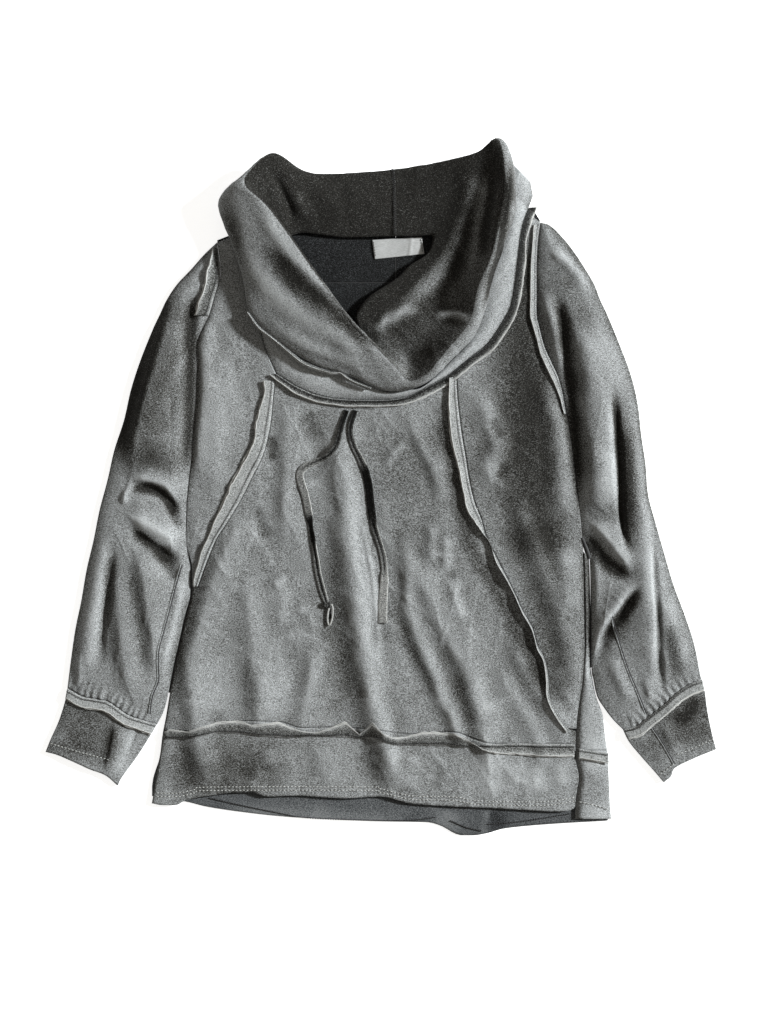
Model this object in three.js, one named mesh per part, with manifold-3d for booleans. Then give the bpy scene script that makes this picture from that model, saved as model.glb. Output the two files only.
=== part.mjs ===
// Cowl neck sweatshirt, laid flat on a table with its front up.
// Millimetres. Z is up, Y runs from the hem to the neck, X to the wearer's left.
// Each sewn piece is one closed wall of cloth, and pieces lie 0.3 mm apart at the seams.
// Left and right name the sides as they are seen from above.

import * as THREE from 'three';
import Module from 'manifold-3d';

const wasm = await Module();
wasm.setup();

// Driving dimensions of the cloth
const WALL = 1.6;
const COWL_WALL = 1.8;
const STRIP_WALL = 1.2;
const LABEL_WALL = 1.0;
const SEAM_GAP = 0.3;
const STRIP_LIFT = 0.5;

// Heights of the upper face above the table
const BACK_TOP = WALL;
const EDGE_TOP = 3.9;
const FRONT_TOP = 6.2;
const NECK_RISE = 2.4;
const NECK_REACH = 24;
const EDGE_ROUNDING = 12;
const SLEEVE_CROWN = 7.5;
const CUFF_CROWN = 2.8;
const CUFF_REACH = 75;

// Widths of the raw seam allowances that show outside
const NECK_STRIP_WIDTH = 9;
const PRINCESS_STRIP_WIDTH = 13;
const CUFF_STRIP_SHARE = 0.2;
const HEM_STRIP_WIDTH = 11;

// Drawstring tape
const TAPE_WIDTH = 6;
const TAPE_THICKNESS = 2.4;

// Levels along Y that several pieces share
const UNDERARM = -61;
const LEFT_SHOULDER = 283;
const RIGHT_SHOULDER = 306;
const LEFT_NECK_CORNER = 132;
const RIGHT_NECK_CORNER = 137;
const YOKE_LINE = 237;
const BACK_END = -300;
const WRAP_START = -74;
const CENTRE_BACK = 18;

// The outline is centred on the origin by this shift
const CENTRE_SHIFT = { x: -1.0, y: 0.85 };

function table(columns, rows) {
  return rows.map((row) => Object.fromEntries(columns.map((name, i) => [name, row[i]])));
}

// Body outline and seams, read down the garment

const leftEdgeTable = table(['y', 'x'], [
  [282, -187], [262, -184], [247, -183], [224, -189], [200, -196], [180, -206], [165, -211],
  [143, -210], [110, -211], [76, -214], [41, -216], [5, -220], [-18, -222], [-61, -222.6],
  [-75, -219], [-90, -216], [-119, -216], [-130, -218], [-148, -223], [-175, -229],
  [-206, -236], [-238, -242], [-262, -246], [-283, -250], [-300, -252], [-317, -254],
  [-335, -258], [-352, -261], [-364, -262],
]);

const rightSeamTable = table(['y', 'x'], [
  [306, 184], [281, 181], [250, 180], [200, 180], [187, 183], [164, 189], [148, 196],
  [128, 205], [110, 210], [92, 213], [74, 217], [53, 220], [25, 224], [0, 227], [-18, 229],
  [-39, 231], [-61, 233], [-128, 234.5], [-180, 235], [-218, 233], [-244, 229], [-269, 226],
  [-295, 225], [-308, 225], [-331, 229], [-351, 226], [-372, 224],
]);

const rightFoldTable = table(['y', 'x'], [
  [-61, 239], [-100, 241], [-150, 242], [-205, 242], [-218, 244], [-238, 248], [-261, 256],
  [-287, 259], [-308, 262], [-333, 263], [-366, 264.5], [-381, 266],
]);

const leftPrincessTable = table(['y', 'x'], [
  [132, -119], [110, -122], [79, -125], [42, -133], [15, -146], [-13, -160], [-38, -175],
  [-58, -188], [-87, -200], [-112, -209],
]);

const rightPrincessTable = table(['y', 'x'], [
  [137, 87], [104, 89], [69, 93], [38, 98], [7, 103], [-17, 109], [-34, 116], [-52, 121],
  [-81, 135], [-118, 154], [-138, 163], [-159, 175], [-180, 181], [-192, 188], [-213, 193],
  [-238, 195], [-259, 205], [-276, 217],
]);

const leftNeckTable = table(['y', 'x'], [
  [293, -168], [262, -160], [237, -156], [212, -149], [187, -139], [162, -132], [145, -125],
  [132, -119],
]);

const rightNeckTable = table(['y', 'x'], [
  [323, 171], [303, 164], [280, 160], [262, 158], [237, 155], [212, 151], [187, 138],
  [165, 122], [150, 103], [137, 87],
]);

// Lines that run across the garment

const neckTable = table(['x', 'y'], [
  [-119, 132], [-93, 116], [-70, 107], [-46, 103], [-20, 102], [5, 102], [29, 105], [52, 116],
  [78, 130], [87, 137],
]);

const hemSeamTable = table(['x', 'y'], [
  [-249, -277], [-220, -278], [-187, -269], [-159, -266], [-117, -267], [-89, -274],
  [-56, -273], [-24, -275], [2, -277], [35, -281], [86, -279], [108, -287], [122, -291],
  [162, -293], [225, -293],
]);

const frontHemTable = table(['x', 'y'], [
  [-262, -361], [-250, -363], [-235, -363], [-222, -357], [-196, -352], [-161, -348],
  [-148, -348], [-130, -353], [-96, -352], [-39, -355], [0, -353], [36, -361], [77, -364],
  [126, -366], [162, -368], [201, -370], [212, -370], [225, -364],
]);

const backHemTable = table(['x', 'y'], [
  [-262, -353], [-235, -357], [-220, -360], [-200, -365], [-161, -371], [-117, -376],
  [-74, -379], [0, -382], [54, -383], [72, -388], [82, -394], [93, -398], [108, -398],
  [122, -396], [144, -390], [197, -385], [266, -381],
]);

const backNeckTable = table(['x', 'y'], [
  [-190, 285], [-172, 292], [-150, 300], [-101, 308], [-72, 300], [-41, 294], [18, 291],
  [60, 294], [100, 304], [140, 318], [172, 323], [186, 306],
]);

// Sleeve and cuff outlines, each read from the body outwards or down the sleeve

const leftSleeve = {
  side: -1,
  inner: [[-223, -61], [-221, -75], [-218, -90], [-218, -119], [-220, -130], [-225, -148],
    [-231, -175], [-238, -206], [-244, -238], [-249, -256], [-256, -270]],
  outer: [[-187, 284], [-202, 269], [-217, 252], [-233, 235], [-245, 217], [-253, 200],
    [-261, 183], [-275, 148], [-286, 114], [-294, 79], [-305, 45], [-313, 10], [-322, -24],
    [-329, -59], [-337, -93], [-343, -128], [-350, -162], [-355, -197], [-359, -229]],
  cuffSeam: [[-256, -270], [-270, -266], [-288, -260], [-300, -252], [-312, -244],
    [-326, -241], [-342, -238], [-359, -229]],
  cuffInner: [[-256, -270], [-265, -285], [-279, -307], [-297, -332], [-301, -341]],
  cuffOuter: [[-359, -229], [-362, -245], [-369, -267], [-378, -287], [-384, -302]],
  opening: [[-301, -341], [-315, -329], [-333, -322], [-346, -316], [-369, -306], [-384, -302]],
};

const rightSleeve = {
  side: 1,
  inner: [[233, -61], [240.5, -70], [242, -100], [243, -150], [243, -205], [245, -218],
    [249.5, -238], [258, -252], [268, -265], [279, -276]],
  outer: [[184, 308], [196, 302], [212, 286], [225, 269], [236, 252], [246, 235], [253, 217],
    [261, 200], [275, 166], [288, 131], [296, 97], [300, 62], [305, 28], [308, -7],
    [317, -41], [327, -76], [337, -110], [350, -145], [361, -179], [368, -214], [370, -219]],
  cuffSeam: [[279, -276], [294, -272], [307, -262], [325, -248], [343, -232], [358, -223],
    [370, -219]],
  cuffInner: [[279, -276], [286, -290], [299, -306], [315, -324], [326, -337]],
  cuffOuter: [[370, -219], [373, -232], [376, -255], [381, -280], [386, -299]],
  opening: [[326, -337], [334, -330], [339, -320], [361, -309], [386, -299]],
};

// Folds are soft ridges, or troughs where the rise is negative, along a straight line

const foldColumns = ['x0', 'y0', 'x1', 'y1', 'half', 'rise'];

const frontFolds = table(foldColumns, [
  [-24, 60, -16, -60, 11, 4.5], [-16, -60, -10, -250, 12, 5.0], [-50, 40, -44, -110, 9, -4.0],
  [-44, -110, -42, -255, 9, -3.6], [32, 80, 62, 15, 9, 2.6], [33, -70, 38, -140, 9, 3.6],
  [38, -140, 75, -240, 10, 3.4], [22, -100, 60, -200, 8, -3.0], [60, -200, 95, -268, 8, -2.6],
  [62, -30, 62, -95, 7, 2.4], [-115, 70, -112, 20, 8, 2.0], [-100, 45, -100, -110, 10, 3.0],
  [-127, 55, -124, 20, 7, -2.2], [72, 100, 76, 20, 7, -3.0], [-150, -60, -165, -250, 14, 2.4],
  [-190, -120, -228, -262, 11, 2.6], [-95, -130, -88, -250, 12, 2.2], [12, -290, 14, -345, 9, -2.4],
  [120, -100, 172, -250, 11, 2.4], [150, 60, 128, -30, 12, 2.4], [195, 20, 175, -150, 12, 2.8],
  [215, -60, 205, -250, 9, 2.2], [-170, 180, -185, 20, 16, 2.4], [-110, -295, -140, -350, 10, 2.4],
  [-200, -290, -215, -350, 10, 1.8], [60, -295, 80, -355, 10, 2.0], [150, -300, 165, -360, 10, 2.0],
]);

const leftSleeveFolds = table(foldColumns, [
  [-230, 195, -246, 100, 17, 8], [-246, 100, -256, 25, 17, 9], [-229, 221, -267, 138, 6, -5],
  [-267, 138, -303, -18, 7, -6], [-252, 205, -290, 80, 11, 4], [-290, 80, -316, -30, 12, 4],
  [-296, 1, -262, 6, 5, -7], [-262, 6, -226, -21, 6, -8], [-286, -14, -240, -50, 15, 8],
  [-292, -32, -226, -84, 6, -7], [-316, -45, -329, -215, 9, 6], [-300, -110, -281, -240, 8, 5],
  [-272, -72, -258, -144, 9, 4], [-224, -105, -243, -213, 7, 4], [-346, -175, -345, -224, 6, 3],
  [-306, -56, -314, -230, 6, -5], [-287, -60, -268, -224, 6, -4.5], [-252, -80, -234, -98, 6, -4],
]);

const rightSleeveFolds = table(foldColumns, [
  [222, 195, 240, 115, 16, 8], [240, 115, 248, -10, 18, 9], [272, 70, 278, -60, 6, -7],
  [284, 105, 306, -35, 11, 5], [213, 260, 238, 232, 10, 4], [187, 212, 208, 130, 7, 4],
  [240, -30, 282, -86, 9, 6], [236, -42, 286, -102, 5, -7], [292, -106, 247, -180, 6, -5],
  [303, -26, 306, -190, 9, 6], [313, -50, 327, -244, 5, -6], [327, -110, 352, -212, 12, 5],
  [266, -150, 300, -250, 5, -2.5], [254, -78, 256, -128, 7, 3], [280, -160, 302, -235, 9, 4],
]);

// The cowl is a folded tube round the neck. Each row is one section: the seam at its foot,
// the bulge of the outer layer, the rim, the middle of the inner layer and its free foot.

const cowlColumns = ['seamX', 'seamY', 'seamZ', 'bulgeX', 'bulgeY', 'bulgeZ', 'rimX', 'rimY', 'rimZ',
  'liningX', 'liningY', 'liningZ', 'footX', 'footY', 'footZ'];

const cowlSections = table(cowlColumns, [
  [15, 293, 1, 15, 330, 0.9, 15, 366, 6, 15, 330, 9, 15, 297, 7],
  [-41, 297, 1, -43, 330, 0.9, -46, 361, 7, -42, 330, 10, -40, 300, 7],
  [-76, 304, 1, -83, 335, 1.2, -87, 363, 12, -78, 333, 13, -70, 305, 7],
  [-106, 312, 1, -119, 346, 3, -122, 382, 24, -104, 338, 16, -90, 305, 8],
  [-140, 304, 2, -160, 335, 8, -150, 360, 32, -124, 325, 17, -104, 294, 9],
  [-152, 285, 9, -184, 326, 20, -153, 343, 40, -130, 305, 20, -112, 278, 9],
  [-152, 262, 10, -170, 290, 24, -128, 319, 41, -122, 290, 21, -114, 262, 9],
  [-148, 234, 10, -152, 252, 25, -97, 277, 41, -106, 258, 21, -110, 238, 9],
  [-139, 206, 10, -130, 219, 26, -65, 230, 40, -82, 221, 20, -96, 211, 9],
  [-106, 174, 10, -89, 187, 27, -33, 189, 37, -50, 186, 20, -68, 182, 9],
  [-69, 150, 10.5, -53, 160, 26, -5, 160, 33, -20, 163, 18, -38, 163, 9],
  [-29, 135, 11, -14, 140, 22, 15, 140, 28, 2, 152, 16, -22, 165, 9],
  [9, 117, 12, 22, 119, 20, 32, 123, 25, 24, 152, 14, -22, 180, 9],
  [46, 119, 13, 52, 122, 23, 53, 129, 31, 34, 165, 15, -28, 199, 9],
  [78, 148, 13, 84, 151, 26, 78, 158, 36, 48, 186, 17, -14, 219, 9],
  [101, 173, 13, 108, 177, 28, 103, 189, 38, 68, 208, 15, 5, 232, 9],
  [116, 204, 13, 121, 212, 28, 112, 226, 40, 82, 236, 13, 20, 242, 9],
  [122, 240, 13, 129, 247, 28, 126, 260, 41, 90, 262, 14, 34, 256, 9],
  [132, 272, 13, 141, 281, 28, 136, 298, 42, 98, 288, 16, 53, 268, 9],
  [143, 308, 12, 153, 322, 26, 144, 338, 42, 106, 318, 17, 60, 282, 9],
  [132, 336, 6, 148, 368, 16, 136, 396, 32, 104, 345, 18, 60, 290, 8],
  [92, 318, 1.2, 106, 352, 4, 110, 383, 22, 82, 346, 14, 54, 295, 8],
  [54, 298, 1, 60, 334, 0.9, 64, 373, 11, 50, 335, 11, 38, 297, 7],
]);

// Inner edge of the collar band, from its left end round the front to the right shoulder
const bandInner = [[-141, 197], [-124, 178], [-109, 165.5], [-92, 151], [-72, 142], [-50, 137],
  [-32, 128], [-14, 119.5], [8, 111], [30, 113], [47, 116], [66, 131], [80, 145], [104, 170],
  [119, 200], [125, 238], [135, 270], [146, 305], [151, 345], [151, 373]];
const BAND_SPLIT = 9;
const BAND_LEFT_END = 215;
const BAND_SEAM_TOP = 12;
const BAND_BULGE = 2.5;

// Drawstring routes, over the front from the neck seam down
const leftTape = [[-38, 90], [-43, 76], [-46, 63], [-51, 48], [-60, 38], [-74, 31], [-86, 25],
  [-92, 17], [-90, 6], [-86, -6], [-83, -20], [-80, -38], [-77, -56], [-74, -76], [-71, -96],
  [-66, -116], [-61, -132], [-58, -142], [-55, -152]];
const rightTape = [[-28, 90], [-33, 76], [-34, 63], [-30, 49], [-23, 35], [-17, 21], [-13, 4],
  [-11, -14], [-9, -30], [-6, -46], [-1, -61], [3, -75], [5, -89], [5, -103], [4, -118],
  [3, -132], [3, -144], [3, -154]];

// Interpolation helpers

function interpolate(rows, key, value, at) {
  const rising = rows[rows.length - 1][key] > rows[0][key];
  const sorted = rising ? rows : [...rows].reverse();
  if (at <= sorted[0][key]) return sorted[0][value];
  for (let i = 1; i < sorted.length; i += 1) {
    if (at <= sorted[i][key]) {
      const share = (at - sorted[i - 1][key]) / (sorted[i][key] - sorted[i - 1][key]);
      return THREE.MathUtils.lerp(sorted[i - 1][value], sorted[i][value], share);
    }
  }
  return sorted[sorted.length - 1][value];
}

const leftEdge = (y) => interpolate(leftEdgeTable, 'y', 'x', y);
const rightSeam = (y) => interpolate(rightSeamTable, 'y', 'x', y);
const rightFold = (y) => interpolate(rightFoldTable, 'y', 'x', y);
const leftPrincess = (y) => interpolate(leftPrincessTable, 'y', 'x', y);
const rightPrincess = (y) => interpolate(rightPrincessTable, 'y', 'x', y);
const leftNeck = (y) => interpolate(leftNeckTable, 'y', 'x', y);
const rightNeck = (y) => interpolate(rightNeckTable, 'y', 'x', y);
const neckLine = (x) => interpolate(neckTable, 'x', 'y', x);
const hemSeam = (x) => interpolate(hemSeamTable, 'x', 'y', x);
const frontHem = (x) => interpolate(frontHemTable, 'x', 'y', x);
const backHem = (x) => interpolate(backHemTable, 'x', 'y', x);
const backNeck = (x) => interpolate(backNeckTable, 'x', 'y', x);

function pathLengths(path) {
  const lengths = [0];
  for (let i = 1; i < path.length; i += 1) {
    const step = Math.hypot(path[i][0] - path[i - 1][0], path[i][1] - path[i - 1][1]);
    lengths.push(lengths[i - 1] + step);
  }
  return lengths;
}

function pointAt(path, share) {
  const lengths = pathLengths(path);
  const target = share * lengths[lengths.length - 1];
  let i = 1;
  while (i < path.length - 1 && lengths[i] < target) i += 1;
  const local = (target - lengths[i - 1]) / (lengths[i] - lengths[i - 1]);
  return path[i].map((value, axis) => THREE.MathUtils.lerp(path[i - 1][axis], value, local));
}

function distanceToSegment(x, y, x0, y0, x1, y1) {
  const dx = x1 - x0;
  const dy = y1 - y0;
  const along = THREE.MathUtils.clamp(((x - x0) * dx + (y - y0) * dy) / (dx * dx + dy * dy), 0, 1);
  return Math.hypot(x - x0 - along * dx, y - y0 - along * dy);
}

function distanceToPath(path, x, y) {
  let nearest = Infinity;
  for (let i = 1; i < path.length; i += 1) {
    nearest = Math.min(nearest, distanceToSegment(x, y, ...path[i - 1], ...path[i]));
  }
  return nearest;
}

function steps(count) {
  return Array.from({ length: count + 1 }, (_, i) => i / count);
}

// Heights of the cloth's upper face

function foldRise(folds, x, y) {
  let rise = 0;
  for (const fold of folds) {
    const away = distanceToSegment(x, y, fold.x0, fold.y0, fold.x1, fold.y1) / fold.half;
    rise += fold.rise * Math.exp(-away * away);
  }
  return rise;
}

const SOFTNESS = 1.5;

function softFloor(height, floor) {
  return floor + Math.log1p(Math.exp(SOFTNESS * (height - floor))) / SOFTNESS;
}

const bodyEdges = [
  leftEdgeTable.map((row) => [row.x, row.y]),
  rightSeamTable.map((row) => [row.x, row.y]),
];
const shoulders = [[[-168, 293], [-187, 284]], [[171, 323], [184, 308]]];
const neckEdges = [leftNeckTable, neckTable, rightNeckTable].map(
  (rows) => rows.map((row) => [row.x, row.y]),
);

function frontHeight(x, y) {
  const edge = Math.min(...[...bodyEdges, ...shoulders].map((path) => distanceToPath(path, x, y)));
  const neck = Math.min(...neckEdges.map((path) => distanceToPath(path, x, y))) / NECK_REACH;
  const crown = FRONT_TOP - EDGE_TOP + NECK_RISE * Math.exp(-neck * neck) + foldRise(frontFolds, x, y);
  return softFloor(EDGE_TOP + crown * (1 - Math.exp(-edge / EDGE_ROUNDING)), EDGE_TOP);
}

function sleeveOutline(sleeve) {
  const armhole = sleeve.side < 0 ? leftEdgeTable : rightSeamTable;
  return [
    armhole.filter((row) => row.y >= UNDERARM).map((row) => [row.x, row.y]),
    sleeve.inner, sleeve.outer, sleeve.cuffInner, sleeve.cuffOuter,
  ];
}

function sleeveHeight(sleeve, folds, x, y) {
  const edge = Math.min(...sleeveOutline(sleeve).map((path) => distanceToPath(path, x, y)));
  const toCuff = Math.min(1, distanceToPath(sleeve.cuffSeam, x, y) / CUFF_REACH);
  const crown = THREE.MathUtils.lerp(CUFF_CROWN, SLEEVE_CROWN, toCuff) + foldRise(folds, x, y);
  return softFloor(EDGE_TOP + crown * (1 - Math.exp(-edge / EDGE_ROUNDING)), EDGE_TOP);
}

function cuffHeight(sleeve, x, y) {
  const edge = Math.min(...sleeveOutline(sleeve).map((path) => distanceToPath(path, x, y)));
  return softFloor(EDGE_TOP + CUFF_CROWN * (1 - Math.exp(-edge / EDGE_ROUNDING)), EDGE_TOP);
}

// Closed walls between an outer and an inner grid of points

function wall(outer, inner, closedRows = false, closedColumns = false) {
  const rowCount = outer.length;
  const columnCount = outer[0].length;
  const second = rowCount * columnCount;
  const index = [];
  const at = (i, j) => (i % rowCount) * columnCount + (j % columnCount);
  const quad = (a, b, c, d) => index.push(a, b, c, a, c, d);
  const rowCells = closedRows ? rowCount : rowCount - 1;
  const columnCells = closedColumns ? columnCount : columnCount - 1;
  for (let i = 0; i < rowCells; i += 1) {
    for (let j = 0; j < columnCells; j += 1) {
      const [a, b, c, d] = [at(i, j), at(i, j + 1), at(i + 1, j + 1), at(i + 1, j)];
      quad(a, b, c, d);
      index.push(second + a, second + c, second + b, second + a, second + d, second + c);
    }
  }
  if (!closedRows) {
    const last = rowCount - 1;
    for (let j = 0; j < columnCells; j += 1) {
      quad(at(0, j + 1), at(0, j), second + at(0, j), second + at(0, j + 1));
      quad(at(last, j), at(last, j + 1), second + at(last, j + 1), second + at(last, j));
    }
  }
  if (!closedColumns) {
    const last = columnCount - 1;
    for (let i = 0; i < rowCells; i += 1) {
      quad(at(i, 0), at(i + 1, 0), second + at(i + 1, 0), second + at(i, 0));
      quad(at(i + 1, last), at(i, last), second + at(i, last), second + at(i + 1, last));
    }
  }
  return facingOut([...outer.flat(), ...inner.flat()], index);
}

function facingOut(points, index) {
  let volume = 0;
  for (let i = 0; i < index.length; i += 3) {
    const [a, b, c] = [0, 1, 2].map((k) => new THREE.Vector3(...points[index[i + k]]));
    volume += a.dot(b.cross(c));
  }
  if (volume < 0) {
    for (let i = 0; i < index.length; i += 3) {
      [index[i + 1], index[i + 2]] = [index[i + 2], index[i + 1]];
    }
  }
  const geometry = new THREE.BufferGeometry();
  geometry.setAttribute('position', new THREE.Float32BufferAttribute(points.flat(), 3));
  geometry.setIndex(index);
  return geometry;
}

function lowered(grid, depth) {
  return grid.map((row) => row.map(([x, y, z]) => [x, y, z - depth]));
}

function sheet(grid, thickness = WALL) {
  return wall(grid, lowered(grid, thickness));
}

function toManifold(geometry) {
  return new wasm.Manifold(new wasm.Mesh({
    numProp: 3,
    vertProperties: new Float32Array(geometry.attributes.position.array),
    triVerts: new Uint32Array(geometry.index.array),
  }));
}

function joined(first, second) {
  const mesh = toManifold(first).add(toManifold(second)).getMesh();
  const geometry = new THREE.BufferGeometry();
  geometry.setAttribute('position', new THREE.Float32BufferAttribute(mesh.vertProperties, 3));
  geometry.setIndex([...mesh.triVerts]);
  return geometry;
}

// Rows of the body, from the shoulders to the hem seam

const upperRows = [262, 237, 212, 187, 162];
const middleRows = [60, 35, 10, -15, -40, -61, -87, -112];
const lowerRows = [-130, -155, -182, -210, -240];
const NECK_STEPS = 3;
const HEM_STEPS = 3;

function neckRows(neckY) {
  const below = neckY - NECK_STRIP_WIDTH;
  const rows = steps(NECK_STEPS).map((share) => THREE.MathUtils.lerp(below, middleRows[0], share));
  return [neckY, ...rows];
}

function hemRows(hemY) {
  const last = lowerRows[lowerRows.length - 1];
  return steps(HEM_STEPS).slice(1).map((share) => THREE.MathUtils.lerp(last, hemY, share));
}

const centreRowCount = neckRows(0).length + middleRows.length - 1 + lowerRows.length + HEM_STEPS;

function seamRows(neckY, hemY) {
  return [...neckRows(neckY), ...middleRows.slice(1), ...lowerRows, ...hemRows(hemY)];
}

const leftSeamRows = seamRows(LEFT_NECK_CORNER, hemSeam(-249));
const rightSeamRows = seamRows(RIGHT_NECK_CORNER, hemSeam(225));
const LEFT_TIP_ROW = leftSeamRows.indexOf(-112);
const RIGHT_TIP_ROW = centreRowCount - 2;

function centreLeftX(row) {
  const y = leftSeamRows[row];
  return row <= LEFT_TIP_ROW ? leftPrincess(y) : leftEdge(y);
}

function centreRightX(row) {
  const y = rightSeamRows[row];
  return row <= RIGHT_TIP_ROW ? rightPrincess(y) : rightSeam(y);
}

// Front panels

const CENTRE_COLUMNS = 19;

function frontCentreGrid() {
  return steps(centreRowCount - 1).map((_, row) => {
    const half = SEAM_GAP / 2;
    const left = centreLeftX(row) + half;
    const right = centreRightX(row) - half;
    const stripShare = 1 - (PRINCESS_STRIP_WIDTH - 2) / (right - left);
    const shares = [...steps(CENTRE_COLUMNS).map((share) => share * stripShare), 1];
    return shares.map((share) => {
      const x = THREE.MathUtils.lerp(left, right, share);
      const y = seamRows(neckLine(x), hemSeam(x))[row];
      return [x, y, frontHeight(x, y)];
    });
  });
}

const SIDE_COLUMNS = 4;
const LEFT_SHOULDER_SLOPE = 9;
const RIGHT_SHOULDER_SLOPE = 16;

function frontLeftGrid() {
  const half = SEAM_GAP / 2;
  const rows = [LEFT_SHOULDER, ...upperRows, ...leftSeamRows.slice(0, LEFT_TIP_ROW + 1)];
  return rows.map((y, row) => {
    const left = leftEdge(y);
    const right = (y > LEFT_NECK_CORNER ? leftNeck(y) : leftPrincess(y)) - half;
    const strip = Math.min(PRINCESS_STRIP_WIDTH, (right - left) * 0.5);
    const shares = steps(SIDE_COLUMNS);
    const inside = shares.map((share) => THREE.MathUtils.lerp(left, right - strip, share));
    const slope = row === 0 ? LEFT_SHOULDER_SLOPE : 0;
    return [...inside, right].map((x) => {
      const lift = slope * (x - left) / (right - left);
      return [x, y + lift, frontHeight(x, y + lift)];
    });
  });
}

function frontRightGrid() {
  const half = SEAM_GAP / 2;
  const rows = [RIGHT_SHOULDER, 284, ...upperRows, ...rightSeamRows.slice(0, RIGHT_TIP_ROW + 1)];
  return rows.map((y, row) => {
    const left = (y > RIGHT_NECK_CORNER ? rightNeck(y) : rightPrincess(y)) + half;
    const right = rightSeam(y) - half;
    const strip = Math.min(NECK_STRIP_WIDTH, (right - left) * 0.5);
    const inside = steps(SIDE_COLUMNS + 1).map((share) => THREE.MathUtils.lerp(left + strip, right, share));
    const slope = row === 0 ? RIGHT_SHOULDER_SLOPE : 0;
    return [left, ...inside].map((x) => {
      const lift = slope * (right - x) / (right - left);
      return [x, y + lift, frontHeight(x, y + lift)];
    });
  });
}

function hemBandFrontGrid(centre) {
  const top = centre[centre.length - 1];
  const [first, last] = [top[0], top[top.length - 1]];
  const left = leftEdge(frontHem(-262));
  const right = rightSeam(frontHem(225)) - SEAM_GAP;
  return steps(3).map((share) => top.map(([topX, topY]) => {
    const across = (topX - first[0]) / (last[0] - first[0]);
    const x = THREE.MathUtils.lerp(topX, THREE.MathUtils.lerp(left, right, across), share);
    const inset = topX === last[0] ? 0 : 1;
    const edged = inset ? x : rightSeam(THREE.MathUtils.lerp(topY, frontHem(x), share)) - 2 * SEAM_GAP;
    const y = THREE.MathUtils.lerp(topY - SEAM_GAP, frontHem(edged), share);
    return [edged, y, frontHeight(edged, y)];
  }));
}

// Back panels lie flat on the table, and wrap to the front at the right edge

const BACK_COLUMNS = 6;
const WRAP_END = -379;
const HEM_COLUMNS = 28;
const BACK_CORNER = -381;

const wrapColumns = table(['share', 'inset', 'outerZ', 'innerZ'], [
  [0, 8, 0, WALL], [0, 3, 0, WALL], [0, 0.8, 0.7, 1.7], [0, 0, 2, 2], [0, 0.8, 3.4, 2.3],
  [0, 3, 4.2, 2.6], [0.5, 0, 5.6, 4], [1, 0, 4.2, 2.6],
]);
const WRAP_CORE = 1.9;
const WRAP_OVERLAP = 4;

function wrapWall(rows) {
  const outer = [];
  const inner = [];
  for (const place of rows) {
    const fold = place.fold;
    const seam = place.seam + SEAM_GAP / 2;
    const point = (column, z, core) => {
      const edge = fold - Math.max(column.inset, core);
      const x = column.share > 0 ? THREE.MathUtils.lerp(fold - 3, seam, column.share) : edge;
      return [x, place.y, z];
    };
    outer.push(wrapColumns.map((column) => point(column, column.outerZ, 0)));
    inner.push(wrapColumns.map((column) => point(column, column.innerZ, WRAP_CORE)));
  }
  return wall(outer, inner);
}

function flatGrid(rows, leftOf, rightOf, yOf = (x, y) => y) {
  return rows.map((y) => steps(BACK_COLUMNS).map((share) => {
    const x = THREE.MathUtils.lerp(leftOf(y), rightOf(y), share);
    return [x, yOf(x, y), BACK_TOP];
  }));
}

function backGeometry() {
  const rows = [YOKE_LINE - SEAM_GAP / 2, 212, 187, 162, ...rightSeamRows.slice(0, 4),
    ...middleRows, ...lowerRows, -270, BACK_END];
  const right = (y) => (y > WRAP_START ? rightSeam(y) - SEAM_GAP / 2 : rightFold(y) - WRAP_OVERLAP);
  const flat = sheet(flatGrid(rows, leftEdge, right));
  const wrapRows = [WRAP_START, -87, -112, -130, -155, -182, -210, -240, -270, BACK_END];
  const wrap = wrapWall(wrapRows.map((y) => ({ y, fold: rightFold(y), seam: rightSeam(y) })));
  return joined(flat, wrap);
}

function hemBandBackGeometry() {
  const top = BACK_END - SEAM_GAP;
  const rows = steps(3).map((share) => THREE.MathUtils.lerp(top, BACK_CORNER, share));
  const grid = rows.map((y, row) => steps(HEM_COLUMNS).map((share) => {
    const x = THREE.MathUtils.lerp(leftEdge(y), rightFold(y) - WRAP_OVERLAP, share);
    return [x, THREE.MathUtils.lerp(top, backHem(x), row / 3), BACK_TOP];
  }));
  const wrapRows = steps(3).map((share) => THREE.MathUtils.lerp(top, WRAP_END, share));
  const wrap = wrapWall(wrapRows.map((y) => ({ y, fold: rightFold(y), seam: rightSeam(y) })));
  return joined(sheet(grid), wrap);
}

function yokeGrid(side) {
  const inside = CENTRE_BACK + side * SEAM_GAP / 2;
  const outside = side < 0 ? leftEdge : (y) => rightSeam(y) - SEAM_GAP / 2;
  const bottom = YOKE_LINE + SEAM_GAP / 2;
  return steps(3).map((share) => steps(5).map((across) => {
    const level = THREE.MathUtils.lerp(bottom, side < 0 ? LEFT_SHOULDER : RIGHT_SHOULDER, share);
    const x = THREE.MathUtils.lerp(inside, outside(level), across);
    return [x, THREE.MathUtils.lerp(bottom, backNeck(x) - SEAM_GAP, share), BACK_TOP];
  }));
}

// Sleeves and cuffs are flattened tubes between four outline curves

function coons(start, end, inner, outer, u, v) {
  const [a, b] = [start(v), end(v)];
  const [c, d] = [inner(u), outer(u)];
  const corners = [start(0), start(1), end(0), end(1)];
  return [0, 1].map((axis) => (1 - u) * a[axis] + u * b[axis] + (1 - v) * c[axis] + v * d[axis]
    - (1 - u) * (1 - v) * corners[0][axis] - (1 - u) * v * corners[1][axis]
    - u * (1 - v) * corners[2][axis] - u * v * corners[3][axis]);
}

function towards(from, to, distance) {
  const length = Math.hypot(to[0] - from[0], to[1] - from[1]);
  return [0, 1].map((axis) => from[axis] + (to[axis] - from[axis]) * distance / length);
}

const EDGE_INSET = 2;

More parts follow.
